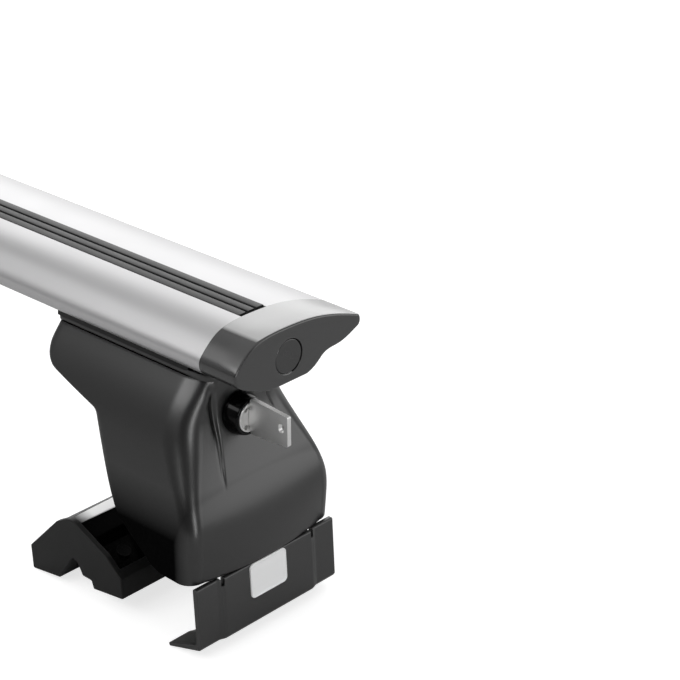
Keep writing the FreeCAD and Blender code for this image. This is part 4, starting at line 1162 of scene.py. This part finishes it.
@dataclass
class Cover:
    """The flared outer cover, an open shell with an arm under the bar.

    A station is (share of the height, lean of the face, crown, width), the last three as shares of the
    way from the face's top to its foot, of the bulge and of the way between the two half widths. A crease
    is a list of (height, place across, depth, width). The arm's and the rim's lines are corners (u, z,
    radius) of the inner wall and of the lower rim.
    """

    foot: FootFrame
    wardrobe: Wardrobe
    bottom: float = 38.6
    top: float = 127.8
    wall: float = 2.5
    face_top: float = -3.0
    face_foot: float = 16.4
    top_half: float = 19.5
    foot_half: float = 46.98
    bulge: float = 4.0
    corner: float = 8.0
    upper_corner: float = 13.0
    inner_corner: float = 5.0
    stations: tuple = (
        (1.000, 0.00, 0.25, 0.00), (0.890, 0.02, 0.30, 0.30), (0.787, 0.06, 0.40, 0.51),
        (0.655, 0.25, 0.40, 0.67), (0.541, 0.47, 0.40, 0.78), (0.406, 0.75, 0.45, 0.90),
        (0.300, 0.92, 0.50, 0.97), (0.180, 1.00, 0.80, 1.00), (0.000, 0.98, 1.05, 1.00),
    )
    long_crease: tuple = ((127.8, -14.0, 0.0, 1.6), (122.0, -14.1, 0.7, 1.9), (115.0, -14.3, 1.5, 2.2),
                          (107.0, -14.6, 1.4, 2.0), (97.0, -15.6, 1.1, 1.6), (86.3, -18.2, 0.7, 1.2),
                          (78.0, -20.2, 0.0, 0.9), (60.0, -24.0, 0.0, 0.9))
    short_crease: tuple = ((127.8, 15.0, 0.0, 0.8), (112.5, 18.3, 0.0, 0.8), (108.7, 19.3, 0.8, 0.9),
                           (103.0, 21.0, 0.6, 0.9), (99.0, 22.2, 0.0, 0.8), (60.0, 34.0, 0.0, 0.8))
    arm_line: tuple = ((-104.5, 127.8, 0.0), (-104.5, 112.6, 12.0), (-62.8, 101.6, 7.0), (-38.0, 57.4, 0.0))
    rim_line: tuple = ((-38.0, 57.4, 0.0), (-13.0, 39.4, 20.0), (16.4, 38.6, 0.0), (36.4, 38.6, 0.0))
    leg_foot: tuple = (-38.0, 57.4)
    leg_bend: tuple = (-62.8, 101.6)
    split: float = 60.0
    corner_foot: tuple = (4.0, 12.4)
    corner_growth: tuple = (72.0, 104.0)
    inner_flank: float = 0.45

    @staticmethod
    def _open_line(corners: tuple) -> Array:
        """An open rounded line through corners, by closing it far away and dropping that side."""
        far = 500.0
        away = ((corners[-1][0], far, 0.0), (corners[0][0] - far, far, 0.0))
        line = fillet([*corners, *away], 12)
        return line[line[:, 1] < 0.8 * far]

    def levels(self, z: Array) -> tuple[Array, Array, Array]:
        """Reads the stations at heights, each column as a smooth graph over the share of the height.

        Args:
            z: The heights.

        Returns:
            The place of the face's middle, that of its corners, which the crown sets back, and the half width.
        """
        shares, *columns = np.array(self.stations).T
        share = (z - self.bottom) / (self.top - self.bottom)
        lean, crown, width = (graph_through(shares, column, share) for column in columns)
        face = self.face_top + lean * (self.face_foot - self.face_top)
        half = self.top_half + np.minimum(width, 1.0) * (self.foot_half - self.top_half)
        return face, face - crown * self.bulge, half

    def grid(self) -> Array:
        """The outer surface as closed rings from the lower rim to the top.

        A ring runs along the inner wall, round an inner corner, along the side, round an outer corner and
        over the crowned face, then back on the other side. Above the leg's foot all points of a ring share
        one height; below it the rings sink evenly to the slanted rim, and the side's points slide outwards
        so that they end on it.

        Returns:
            The points as (ring, place, axis), in the foot's own places.
        """
        inner_line = self._open_line(self.arm_line)[::-1]
        inner_line = thinned(inner_line[np.argsort(inner_line[:, 1], kind="stable")], 1.1)
        rim = self._open_line(self.rim_line)
        foot_u, foot_z = self.leg_foot

        # shares and angles of the columns of each stretch of half a ring
        wall_s = np.linspace(0, 1, 9)[:-1]
        turn_in = quarter(8)[:-1]
        side_f = np.linspace(0, 1, 40)[:-1]
        turn_out = quarter(18)[:-1]
        face_s = np.linspace(0, 1, 61)

        def inner_at(z: Array) -> Array:
            """Place of the inner wall at a height, carried on straight below the leg's foot."""
            slope = (foot_u - self.leg_bend[0]) / (foot_z - self.leg_bend[1])
            above = np.interp(z, inner_line[:, 1], inner_line[:, 0])
            return np.where(z < foot_z, foot_u + (z - foot_z) * slope, above)

        # heights at which each column ends below
        corner_start, corner_stop = self.corner_foot
        side_end = foot_u + side_f * (corner_start - foot_u)
        corner_end = np.linspace(corner_start, corner_stop, len(turn_out))
        face_end = np.linspace(corner_stop, self.face_foot, len(face_s))
        sink_side, sink_corner, sink_face = (
            np.interp(ends, rim[:, 0], rim[:, 1]) for ends in (side_end, corner_end, face_end)
        )
        low = np.concatenate([np.full(len(wall_s) + len(turn_in), foot_z), sink_side, sink_corner, sink_face])

        # heights of all points: rings that sink below the split, level rings from there up
        lower_t = np.linspace(1, 0, 26)[:-1]
        upper_z = np.concatenate([[self.split], inner_line[inner_line[:, 1] > self.split, 1]])
        sinking = low + (self.split - low) * (1 - lower_t[:, None])
        z = np.concatenate([sinking, np.repeat(upper_z[:, None], len(low), 1)])
        drop = np.concatenate([lower_t, np.zeros(len(upper_z))])[:, None]
        face, corner_face, half = self.levels(z)
        inner = inner_at(z)
        bounds = np.cumsum([0, len(wall_s), len(turn_in), len(side_f), len(turn_out), len(face_s)])
        u, y = np.empty(z.shape), np.empty(z.shape)

        def part(values: Array, place: int) -> Array:
            """The columns of one stretch of the ring."""
            return values[:, bounds[place]:bounds[place + 1]]

        r_in = self.inner_corner
        r_all = self.corner + (self.upper_corner - self.corner) * step_up(z, *self.corner_growth)
        r_all = np.minimum(r_all, half - 1.0)
        # the inner wall and its corner
        part(u, 0)[:] = part(inner, 0)
        part(y, 0)[:] = -(part(half, 0) - r_in) * wall_s
        part(u, 1)[:] = part(inner, 1) + r_in * (1 - np.cos(turn_in))
        part(y, 1)[:] = -(part(half, 1) - r_in + r_in * np.sin(turn_in))
        # the side, its points sliding outwards as the rings sink
        start, stop = part(inner, 2) + r_in, part(corner_face, 2) - part(r_all, 2)
        fraction = np.broadcast_to(side_f, start.shape)
        low_start, low_stop = inner_at(sink_side) + r_in, self.levels(sink_side)[1] - self.corner
        end_u = low_start[0] + side_f * (low_stop - low_start[0])
        end_fraction = (end_u - low_start) / (low_stop - low_start)
        fraction = fraction + (end_fraction - fraction) * drop
        part(u, 2)[:] = start + fraction * (stop - start)
        part(y, 2)[:] = -part(half, 2)
        # the outer corner and the crowned face
        r_out = part(r_all, 3)
        part(u, 3)[:] = part(corner_face, 3) - r_out + r_out * np.sin(turn_out)
        part(y, 3)[:] = -(part(half, 3) - r_out + r_out * np.cos(turn_out))
        reach = part(half, 4) - part(r_all, 4)
        crown = part(face, 4) - part(corner_face, 4)
        part(y, 4)[:] = -reach * (1 - face_s)
        part(u, 4)[:] = part(face, 4) - crown * (part(y, 4) / reach) ** 2
        # the other side, and the creases in corners and face
        first = bounds[3]
        front, back = np.stack([u, y, z], -1), np.stack([u, -y, z], -1)
        front[:, first:, 0] -= self.crease(y[:, first:], z[:, first:], self.long_crease)
        back[:, first:, 0] -= self.crease(-y[:, first:], z[:, first:], self.short_crease)
        return np.concatenate([front, back[:, ::-1][:, 1:-1]], 1)

    def crease(self, y: Array, z: Array, line: tuple) -> Array:
        """Depth of a moulded crease in the outer face.

        The crease follows the smooth line of its places y over the height z. Its depth is the given depth at
        that height, falling off steeply on the inner flank and softly on the outer one as exp(-(gap / width)
        squared), the gap being the distance from the line.

        Args:
            y: Places across.
            z: Heights.
            line: (z, y, depth, width) stations.

        Returns:
            The depth, in millimetres, inwards.
        """
        table = np.array(line)
        place = graph_through(table[:, 0], table[:, 1], z)
        depth, width = height_at(table[:, (0, 2)], z), height_at(table[:, (0, 3)], z)
        gap = y - place
        inner = np.where(gap * np.sign(place) < 0, self.inner_flank, 1.0)
        return depth * np.exp(-((gap / (width * inner)) ** 2))

    def build(self) -> bpy.types.Object:
        """The cover's shell: the outer surface, a wall inwards and softened rims.

        Returns:
            The cover.
        """
        shape = Shape().tube(self.foot.lay_points(self.grid()), lids=False)
        piece = shape.piece(self.foot.side.prefix + "cover", self.foot.body("foot"), 60.0)
        wall = piece.modifiers.new("wall", "SOLIDIFY")
        wall.thickness, wall.offset, wall.use_even_offset = self.wall * MM, -1.0, True
        soften(piece, 0.4, 50)
        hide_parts(self.foot.side.prefix + "foot_cover")
        return self.wardrobe.dress(piece, "cover_plastic")


@dataclass
class Seat:
    """The seat plate on the cover and the gasket between it and the bar."""

    foot: FootFrame
    wing: Wing
    wardrobe: Wardrobe
    length: float = 105.0
    half: float = 19.0
    corner: float = 9.0
    low: float = 127.8
    plate: float = 2.2
    rim: float = 1.1
    rim_wall: float = 1.6
    gasket_stop: float = 15.0

    def build_plate(self) -> bpy.types.Object:
        """The plate: its rounded outline carried up, over a low rim and down to the plate's own top.

        The rim's height fades to nothing over the last few millimetres before the gasket's end.

        Returns:
            The plate.
        """
        outline = fillet([(-self.length, -self.half, 3.0), (0, -self.half, self.corner),
                          (0, self.half, self.corner), (-self.length, self.half, 3.0)], 12)
        outline = densified(outline, 4.0)
        fade = step_up(outline[:, 0], -self.gasket_stop - 3, -self.gasket_stop + 2)
        rim_top = self.low + self.plate + self.rim * fade
        low, flat, wall = self.low, self.low + self.plate, self.rim_wall
        levels = [
            (1.6, low), (0.5, low), (0.1, low + 0.15), (0.0, low + 0.5),
            (0.0, rim_top - 0.35), (0.12, rim_top - 0.1), (0.35, rim_top), (wall - 0.3, rim_top),
            (wall - 0.05, rim_top - 0.15), (wall, np.minimum(rim_top - 0.4, flat + 0.1)),
            (wall + 0.1, flat), (wall + 0.8, flat),
        ]
        shape = Shape().tube(self.foot.lay_points(stepped(outline, levels)))
        piece = shape.piece(self.foot.side.prefix + "seat", self.foot.body("foot"), 40.0)
        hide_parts(self.foot.side.prefix + "bar_seat")
        return self.wardrobe.dress(piece, "cover_plastic")

    def build_gasket(self) -> bpy.types.Object:
        """The gasket: flat below, the wing's lower line above, its ends softened.

        Returns:
            The gasket.
        """
        count, gap = 60, 0.3
        across = np.linspace(-self.half, self.half, count)
        under = self.wing.lower_at(across - self.wing.shift + self.foot.shift) + self.wing.height - gap
        flat = self.low + self.plate
        section = np.concatenate([np.stack([across, under], 1), [(self.half, flat), (-self.half, flat)]])
        section[0, 0], section[count - 1, 0] = gap - self.half, self.half - gap
        sections, stations = soft_ends(section, -self.length + 0.1, -self.gasket_stop, 0.5)
        rings = self.foot.lay(stations[:, None], sections[..., 0], sections[..., 1])
        piece = Shape().tube(rings).piece(self.foot.side.prefix + "gasket", self.foot.body("foot"))
        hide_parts(self.foot.side.prefix + "bar_gasket")
        return self.wardrobe.dress(piece, "pad_rubber")


@dataclass
class Clamp:
    """The bent clamp plate with its hooked lip and tongue, and the blank badge on its face."""

    foot: FootFrame
    wardrobe: Wardrobe
    wall: float = 3.0
    half: float = 45.0
    face: float = 15.6
    lean: float = 1.6
    top: float = 38.2
    knee: float = 6.3
    reach: float = 21.6
    lip: float = 1.8
    tab: float = 15.5
    joggle: float = 1.2
    bend: float = 4.2
    notch: float = 4.0
    end_edge: float = 0.35
    tongue_lean: float = 18.0
    tongue_top: float = 80.0
    tongue_half: float = 12.0
    badge_half: float = 11.8
    badge_high: float = 18.0
    badge_shift: float = -1.0
    badge_top: float = 38.0

    def section(self) -> Array:
        """Section of the plate and its lip, its bends rounded.

        Returns:
            Its points (u, z).
        """
        slant = math.hypot(self.reach, self.knee)
        along, across = (self.reach / slant, self.knee / slant), (-self.knee / slant, self.reach / slant)
        tip = (self.face + self.lean - self.reach, 0.01)
        inner = self.face + self.lean - self.wall
        run = (inner - tip[0] - across[0] * self.wall) / along[0]
        corners = [
            (self.face, self.top, 0.8), (self.face + self.lean, self.knee + 1.5, 1.2),
            (self.face + self.lean - 1.2, self.knee - 0.2, 1.0), (*tip, 0.6),
            (tip[0] + across[0] * self.lip, tip[1] + across[1] * self.lip, 0.6),
            (inner, tip[1] + run * along[1] + across[1] * self.wall, 1.5), (self.face - self.wall, self.top, 0.8),
        ]
        return fillet(corners, 5)

    def build_plate(self) -> bpy.types.Object:
        """The plate: its section carried across, set back by the joggle in both tabs and notched at the steps.

        The set-back is the joggle times a smooth step over the bend beside each tab; the top edge drops by
        the notch's depth where it meets the step. The outer ends shrink like rounded edges.

        Returns:
            The plate with its tongue.
        """
        section = self.section()
        edge = self.half - self.tab
        half_line = np.concatenate([
            np.linspace(0, edge - 3, 8), np.linspace(edge - 2.2, edge + self.bend + 0.4, 30),
            np.linspace(edge + self.bend + 1.2, self.half - 0.5, 6),
        ])
        a, round_off = quarter(4), self.end_edge
        y = np.concatenate([half_line, self.half - round_off * (1 - np.sin(a)), [self.half]])
        sunk = np.concatenate([np.zeros(len(half_line)), round_off * (1 - np.cos(a)), [0.5]])
        back = self.joggle * step_up(y, edge - 1.0, edge + self.bend - 1.0)
        notch = step_up(y, edge - 1.0, edge - 0.8) - step_up(y, edge + 0.8, edge + 1.0)
        rings = np.stack([inset(section, depth) if depth else section for depth in sunk])
        u = rings[..., 0] - back[:, None]
        near_top = step_up(rings[..., 1], self.top - 3.0, self.top - 2.0)
        z = rings[..., 1] - self.notch * notch[:, None] * near_top
        right = self.foot.lay(u, y[:, None], z)
        left = self.foot.lay(u, -y[:, None], z)
        shape = Shape().tube(np.concatenate([left[::-1], right[1:]]))
        shape.tube(self.tongue())
        piece = shape.piece(self.foot.side.prefix + "clamp", self.foot.body("clamp"))
        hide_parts(self.foot.side.prefix + "clamp_plate")
        return self.wardrobe.dress(piece, "painted_steel")

    def tongue(self) -> Array:
        """The tongue: from the plate's top inwards up a slope, then upright, all of it the wall thick.

        Returns:
            Its rings as points of the frame.
        """
        slope = math.tan(math.radians(self.tongue_lean))
        under = self.wall / math.cos(math.radians(self.tongue_lean))
        outer, inner = self.face - 0.05, self.face - self.wall
        bend, foot = self.top - 3.0, self.top - 11.0
        step_top = bend + self.face * slope
        step_foot = step_top + self.wall * slope - under
        riser = fillet([
            (outer, bend, 1), (0, step_top, 4), (0, self.tongue_top, 0.5), (-self.wall, self.tongue_top, 0.5),
            (-self.wall, step_foot, 2), (inner, bend + self.wall * slope - under, 1.5), (inner, foot, 0.2),
            (outer, foot, 0.2),
        ])
        return self.foot.lay_sections(*soft_ends(riser, -self.tongue_half, self.tongue_half, 0.4))

    def build_badge(self) -> bpy.types.Object:
        """The badge: a rounded plate with a narrow raised rim round a bare field, laid on the leaning face.

        Returns:
            The badge.
        """
        wide, high, top = self.badge_half, self.badge_high, self.badge_top
        outline = fillet([(-wide, -high, 2.5), (wide, -high, 2.5), (wide, 0, 2.5), (-wide, 0, 2.5)], 10)
        levels = [(1.2, 0.0), (0.0, 0.0), (0.0, 0.5), (0.08, 0.68), (0.25, 0.78), (0.6, 0.78), (0.8, 0.7),
                  (1.0, 0.62), (1.8, 0.6)]
        rings = stepped(outline, levels)
        across, down, out = rings[..., 0], rings[..., 1], rings[..., 2]
        fall = self.top - self.knee - 1.5
        lean = math.atan2(self.lean, fall)
        base = self.face + self.lean * (self.top - top) / fall
        u = base + out * math.cos(lean) - down * math.sin(lean)
        z = top + out * math.sin(lean) + down * math.cos(lean)
        shape = Shape().tube(self.foot.lay(u, across + self.badge_shift, z))
        piece = shape.piece(self.foot.side.prefix + "badge_plate", self.foot.body("clamp"), 30.0)
        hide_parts(self.foot.side.prefix + "badge")
        return self.wardrobe.dress(piece, "badge_silver")


@dataclass
class LockSet:
    """The lock's housing, its barrel and the key in it."""

    foot: FootFrame
    wardrobe: Wardrobe
    axis: float = 107.0
    bezel: float = 10.8
    bezel_front: float = 8.9
    face: float = 5.7
    depth: float = 7.9
    sleeve: float = 9.2
    inside: float = 22.0
    barrel: float = 7.4
    blade: float = 8.0
    sheet: float = 2.3
    play: float = 0.15
    key_length: float = 24.0
    blade_reach: float = 19.0

    def _place(self, rings: Array) -> Array:
        """Rings about the lock's axis, laid in the foot's place."""
        return self.foot.lay_points(rings + (0.0, 0.0, self.axis))

    def build_housing(self) -> bpy.types.Object:
        """The housing: a turned cone with a rounded lip outside, a sleeve behind and a bore through it.

        Returns:
            The housing.
        """
        bore, back, wide, lip = self.barrel + 0.08, -self.inside, self.bezel, self.bezel_front
        face, root = self.face, self.face - self.depth
        profile = [
            (back, bore), (back, self.sleeve), (root, self.sleeve), (root, wide - 0.3), (root + 0.3, wide),
            (root + 1.0, wide), (face - 1.3, lip + 0.35), (face - 0.6, lip + 0.1), (face - 0.15, lip - 0.3),
            (face, lip - 0.8), (face - 0.03, bore + 0.35), (face - 0.25, bore), (back, bore),
        ]
        shape = Shape().tube(self._place(turned(profile, 80)), lids=False)
        piece = shape.piece(self.foot.side.prefix + "lock_bezel", self.foot.body("foot"), 40.0)
        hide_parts(self.foot.side.prefix + "lock_housing")
        return self.wardrobe.dress(piece, "gloss_plastic")

    def build_barrel(self) -> bpy.types.Object:
        """The barrel: a turned drum with a bevelled rim, cut by its keyway and two dimples.

        Returns:
            The barrel.
        """
        front, back, wide, stem = self.face + 0.3, -self.inside, self.barrel, 4.0
        profile = [
            (back - stem, 0.5), (back - stem, stem), (back, stem), (back, wide), (front - 0.6, wide),
            (front - 0.15, wide - 0.15), (front, wide - 0.6), (front - 0.05, wide - 1.1),
            (front - 0.45, wide - 1.4), (front - 0.5, wide - 1.8), (front - 0.5, 0.5),
        ]
        shape = Shape().tube(self._place(turned(profile, 72)))
        piece = shape.piece(self.foot.side.prefix + "lock_drum", self.foot.body("lock"))
        high, across = self.blade / 2 + self.play, self.sheet / 2 + self.play
        slot = fillet([(-across, -high, 0.3), (across, -high, 0.3), (across, high, 0.3), (-across, high, 0.3)], 4)
        ends = [np.column_stack([np.full(len(slot), at), slot]) for at in (front - 20.0, front + 1)]
        pit = [(front - 3.0, 0.1), (front - 2.8, 0.9), (front - 0.8, 1.15), (front + 1, 1.25)]
        pits = [turned(pit, 24, (-3.0, side * 4.4)) for side in (-1, 1)]
        carve(piece, [Shape().tube(self._place(rings)) for rings in (np.stack(ends), *pits)])
        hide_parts(self.foot.side.prefix + "lock_barrel")
        return self.wardrobe.dress(piece, "lock_nickel")

    def build_key(self) -> bpy.types.Object:
        """The key: a flat outline with a slotted hole, given its sheet's thickness and bevelled edges.

        Returns:
            The key.
        """
        length, reach, blade = self.key_length, self.blade_reach, self.blade / 2
        root, end, lift, ward = 9.1, 7.55, 1.0, 1.1
        outline = fillet([
            (0.3, lift - root, 1.5), (length, lift - end, 0.8), (length, lift + end, 0.8), (0.3, lift + root, 1.5),
            (0.3, blade, 0), (-3, blade, 0), (-5, blade - ward, 0), (-7, blade, 0), (-9.5, blade, 0),
            (-11.5, blade - ward, 0), (-13, blade - ward, 0), (-14.5, blade, 0), (3 - reach, blade, 0),
            (-reach, blade - 2.5, 0), (-reach, 2.5 - blade, 0), (3 - reach, -blade, 0), (0.3, -blade, 0),
        ], 5)
        near, far, low, high = length - 5.6, length - 2.4, -0.3, 3.9
        slot = fillet([(near, low, 1.3), (far, low, 1.3), (far, high, 1.3), (near, high, 1.3)], 6)
        front = self.face + 0.3

        def lay(plane: Array, across: float) -> Array:
            """The key's plane stands upright along the lock's axis."""
            return self.foot.lay(front + plane[..., 0], across, self.axis + plane[..., 1])

        half = self.sheet / 2
        shape = Shape().pierced([outline, slot], np.array([-half, half]), lay)
        piece = shape.piece(self.foot.side.prefix + "key_plate", self.foot.body("key"))
        soften(piece, 0.3, 60)
        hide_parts(self.foot.side.prefix + "key")
        return self.wardrobe.dress(piece, "lock_nickel")


@dataclass
class Base:
    """The rubber pad and the folded rail in it.

    The shares are corners of the pad's section, (share of the width, share of the height, radius), and of
    the rail's top line.
    """

    foot: FootFrame
    wardrobe: Wardrobe
    inner: float = -106.0
    width: float = 67.4
    height: float = 40.6
    half: float = 44.0
    end_wall: float = 3.0
    drop: float = 2.6
    sheet: float = 2.6
    shares: tuple = (
        (0.0, 0.320, 1), (0.012, 0.0005, 1), (0.312, 0.074, 0.8), (0.427, 0.352, 1), (0.469, 0.453, 1.5),
        (0.522, 0.433, 1.5), (0.574, 0.281, 1), (0.668, 0.276, 0.8), (0.688, 0.177, 0.8), (1.0, 0.251, 0.8),
        (0.991, 0.517, 0.8), (0.846, 0.719, 6), (0.467, 1.0, 9), (0.312, 0.852, 3),
    )
    rail_shares: tuple = ((0.282, 0.857), (0.401, 0.985), (0.534, 0.998), (0.659, 0.867), (0.694, 0.751),
                          (0.929, 0.579))
    rail_tops: tuple = (0.6, 4, 4, 3, 1.2, 0.6)
    rail_lows: tuple = (0.6, 2.5, 2.5, 1.5, 0.8, 0.6)
    rail_back: float = 1.4

    def _scale(self, shares: tuple) -> Array:
        """Points of the section from shares of the width and the height.

        Args:
            shares: The shares; any further column is kept.

        Returns:
            The points.
        """
        table = np.array(shares, float)
        table[:, 0] = self.inner + table[:, 0] * self.width
        table[:, 1] *= self.height
        return table

    def rail_line(self) -> Array:
        """The rail's top line, lowered by the drop."""
        return self._scale(self.rail_shares) - (0, self.drop)

    def rail_under(self, sheet: float, inner: float) -> Array:
        """The line under the rail: its top line lowered, its inner end drawn back.

        Args:
            sheet: How far it is lowered.
            inner: How far its inner end is lowered.

        Returns:
            The line's points.
        """
        line = self.rail_line()
        return np.concatenate([line[:1] - (self.rail_back, inner), line[1:] - (0, sheet)])

    def build_pad(self) -> bpy.types.Object:
        """The pad: full section in both end walls; between them its upper line is sunk to the rail's underside.

        Points of the section that stand over the line under the rail move straight down to it.

        Returns:
            The pad.
        """
        outline = densified(fillet([tuple(row) for row in self._scale(self.shares)], 6), 1.0)
        under = self.rail_under(self.sheet, 1.0)
        sunk = outline.copy()
        floor = np.interp(outline[:, 0], under[:, 0], under[:, 1])
        upper = (outline[:, 1] > floor) & (outline[:, 0] > under[0, 0]) & (outline[:, 0] < under[-1, 0])
        sunk[upper, 1] = floor[upper]
        inside = self.half - self.end_wall
        sections, stations = soft_ends(outline, -self.half, self.half, 0.5)
        middle = len(stations) // 2
        rings = [*sections[:middle], outline, sunk, sunk, outline, *sections[middle:]]
        places = [*stations[:middle], -inside, -inside + 0.05, inside - 0.05, inside, *stations[middle:]]
        shape = Shape().tube(self.foot.lay_sections(np.stack(rings), np.array(places)))
        piece = shape.piece(self.foot.side.prefix + "pad", self.foot.body("foot"))
        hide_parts(self.foot.side.prefix + "foot_pad")
        return self.wardrobe.dress(piece, "pad_rubber")

    def build_rail(self) -> bpy.types.Object:
        """The rail: a folded strip of even sheet with rounded folds, carried across between the end walls.

        Returns:
            The rail.
        """
        tops = [(*point, radius) for point, radius in zip(self.rail_line(), self.rail_tops)]
        under = self.rail_under(self.sheet - 0.05, 0.95)
        lows = [(*point, radius) for point, radius in zip(under, self.rail_lows)]
        reach = self.half - self.end_wall - 0.08
        sections = soft_ends(fillet(tops + lows[::-1], 8), -reach, reach, 0.25)
        shape = Shape().tube(self.foot.lay_sections(*sections))
        piece = shape.piece(self.foot.side.prefix + "rail", self.foot.body("foot"))
        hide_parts(self.foot.side.prefix + "base_rail")
        return self.wardrobe.dress(piece, "rail_paint")


@dataclass
class Hardware:
    """Fasteners and steelwork that keep their CAD nodes and get a finish."""

    wardrobe: Wardrobe
    steel: tuple = ("cap_screw", "channel_bolts", "channel_washers", "channel_nuts", "clamp_nut", "clamp_washer",
                    "clamp_bolt", "lock_nut", "lock_cam")
    painted: tuple = ("foot_bracket", "base_screws")

    def dress(self, frame: dict) -> None:
        """Gives every kept node its material.

        Args:
            frame: The loaded frame, with its nodes by name.
        """
        for side in Side:
            for name in self.steel:
                self.wardrobe.dress_node(frame["nodes"][side.prefix + name], "zinc_steel")
            for name in self.painted:
                self.wardrobe.dress_node(frame["nodes"][side.prefix + name], "rail_paint")


@dataclass
class Studio:
    """Floor, lights, world and camera."""

    eye: tuple = (1.18683, -0.59814, 0.55677)
    gaze: tuple = (-0.613, 0.66, -0.434)
    lens: float = 112.24

    def camera(self) -> None:
        """The camera at the photograph's angle."""
        data = bpy.data.cameras.new("camera")
        data.lens, data.sensor_width = self.lens, 36.0
        made = bpy.data.objects.new("camera", data)
        made.location = self.eye
        made.rotation_euler = Vector(self.gaze).to_track_quat("-Z", "Y").to_euler()
        bpy.context.scene.collection.objects.link(made)
        bpy.context.scene.camera = made

    def panel(self, name: str, place: tuple, aim: tuple, wide: float, high: float, power: float) -> None:
        """A soft rectangular light that looks at a point.

        Args:
            name: The light's name.
            place: Where it hangs, in metres.
            aim: The point that it faces.
            wide: Its width.
            high: Its height.
            power: Its power in watts.
        """
        data = bpy.data.lights.new(name, "AREA")
        data.shape, data.size, data.size_y, data.energy = "RECTANGLE", wide, high, power
        made = bpy.data.objects.new(name, data)
        made.location = place
        made.rotation_euler = (Vector(aim) - Vector(place)).to_track_quat("-Z", "Y").to_euler()
        made.visible_camera = False
        bpy.context.scene.collection.objects.link(made)

    def lights(self) -> None:
        """A soft ceiling, a bright panel behind, one outside and three smaller ones in front and beside."""
        self.panel("ceiling", (0.45, 0.0, 1.9), (0.45, 0, 0.1), 3.0, 3.0, 13)
        self.panel("behind", (-0.54, 1.19, 0.66), (0.5, 0, 0.14), 2.6, 1.1, 14.5)
        self.panel("outer", (1.72, 1.16, 0.42), (0.57, 0, 0.1), 1.5, 0.84, 5.8)
        self.panel("front", (-0.44, -0.80, 1.16), (0.45, 0, 0.14), 0.9, 0.25, 1.1)
        self.panel("near", (0.45, -1.10, 1.10), (0.57, 0, 0.13), 1.4, 0.45, 6.5)
        self.panel("beside", (1.98, -0.43, 0.37), (0.57, 0, 0.1), 0.24, 0.8, 3.8)

    def world(self) -> None:
        """White to the camera; to everything else a soft grey that darkens towards the near side."""
        world = bpy.data.worlds.new("studio")
        bpy.context.scene.world = world
        world.use_nodes = True
        world.node_tree.nodes.clear()
        tree = Tree(world.node_tree)
        seen = tree.add("LightPath").outputs["Is Camera Ray"]
        way = tree.add("TexCoord").outputs["Generated"]
        level = tree.span(tree.dot(way, (0.707, -0.707, 0.0)), 0.2, 0.9, 0.36, 0.12)
        soft = tree.add("Background", None, Color=WHITE, Strength=level)
        white = tree.add("Background", None, Color=WHITE, Strength=1.0)
        both = tree.add("MixShader", None, i0=seen, i1=soft.outputs[0], i2=white.outputs[0])
        tree.add("OutputWorld", None, Surface=both.outputs[0])

    def floor(self) -> None:
        """A pale floor whose own colour is lifted towards white for the camera, so that it keeps the shadow."""
        mesh = bpy.data.meshes.new("floor")
        far, low = 6, -2e-4
        corners = [(-far, -far, low), (far, -far, low), (far, far, low), (-far, far, low)]
        mesh.from_pydata(corners, [], [(0, 1, 2, 3)])
        made = bpy.data.objects.new("floor", mesh)
        bpy.context.scene.collection.objects.link(made)
        paper = bpy.data.materials.new("studio_paper")
        paper.use_nodes = True
        paper.node_tree.nodes.clear()
        tree = Tree(paper.node_tree)
        seen = tree.add("LightPath").outputs["Is Camera Ray"]
        glow = tree.math("MULTIPLY", seen, 0.72)
        shader = tree.add("BsdfPrincipled", None, Base_Color=(0.58, 0.58, 0.58, 1.0), Roughness=0.9,
                          Emission_Color=WHITE, Emission_Strength=glow)
        tree.add("OutputMaterial", None, Surface=shader.outputs[0])
        mesh.materials.append(paper)

    def build(self) -> None:
        """Everything round the object."""
        scene = bpy.context.scene
        scene.view_settings.view_transform = "Standard"
        self.world()
        self.floor()
        self.lights()
        self.camera()


def report(piece: bpy.types.Object) -> None:
    """Logs a finished piece and its size."""
    log.info("%s: %d vertices", piece.name, len(piece.data.vertices))


def main() -> None:
    """Builds every sub-assembly in order, then the studio."""
    logging.basicConfig(level=logging.INFO, format="%(name)s: %(message)s")
    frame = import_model()
    wardrobe = Wardrobe()
    wing = Wing()
    bar = CrossBar(wing, wardrobe)
    report(bar.build_bar())
    report(bar.build_strip())
    for side in Side:
        cap = EndCap(side, wing, wardrobe)
        report(cap.build_cap())
        report(cap.build_plug())
        foot = FootFrame(side)
        report(Cover(foot, wardrobe).build())
        seat = Seat(foot, wing, wardrobe)
        report(seat.build_plate())
        report(seat.build_gasket())
        clamp = Clamp(foot, wardrobe)
        report(clamp.build_plate())
        report(clamp.build_badge())
        lock = LockSet(foot, wardrobe)
        report(lock.build_housing())
        report(lock.build_barrel())
        report(lock.build_key())
        base = Base(foot, wardrobe)
        report(base.build_pad())
        report(base.build_rail())
    Hardware(wardrobe).dress(frame)
    Studio().build()


if __name__ == "__main__":
    main()
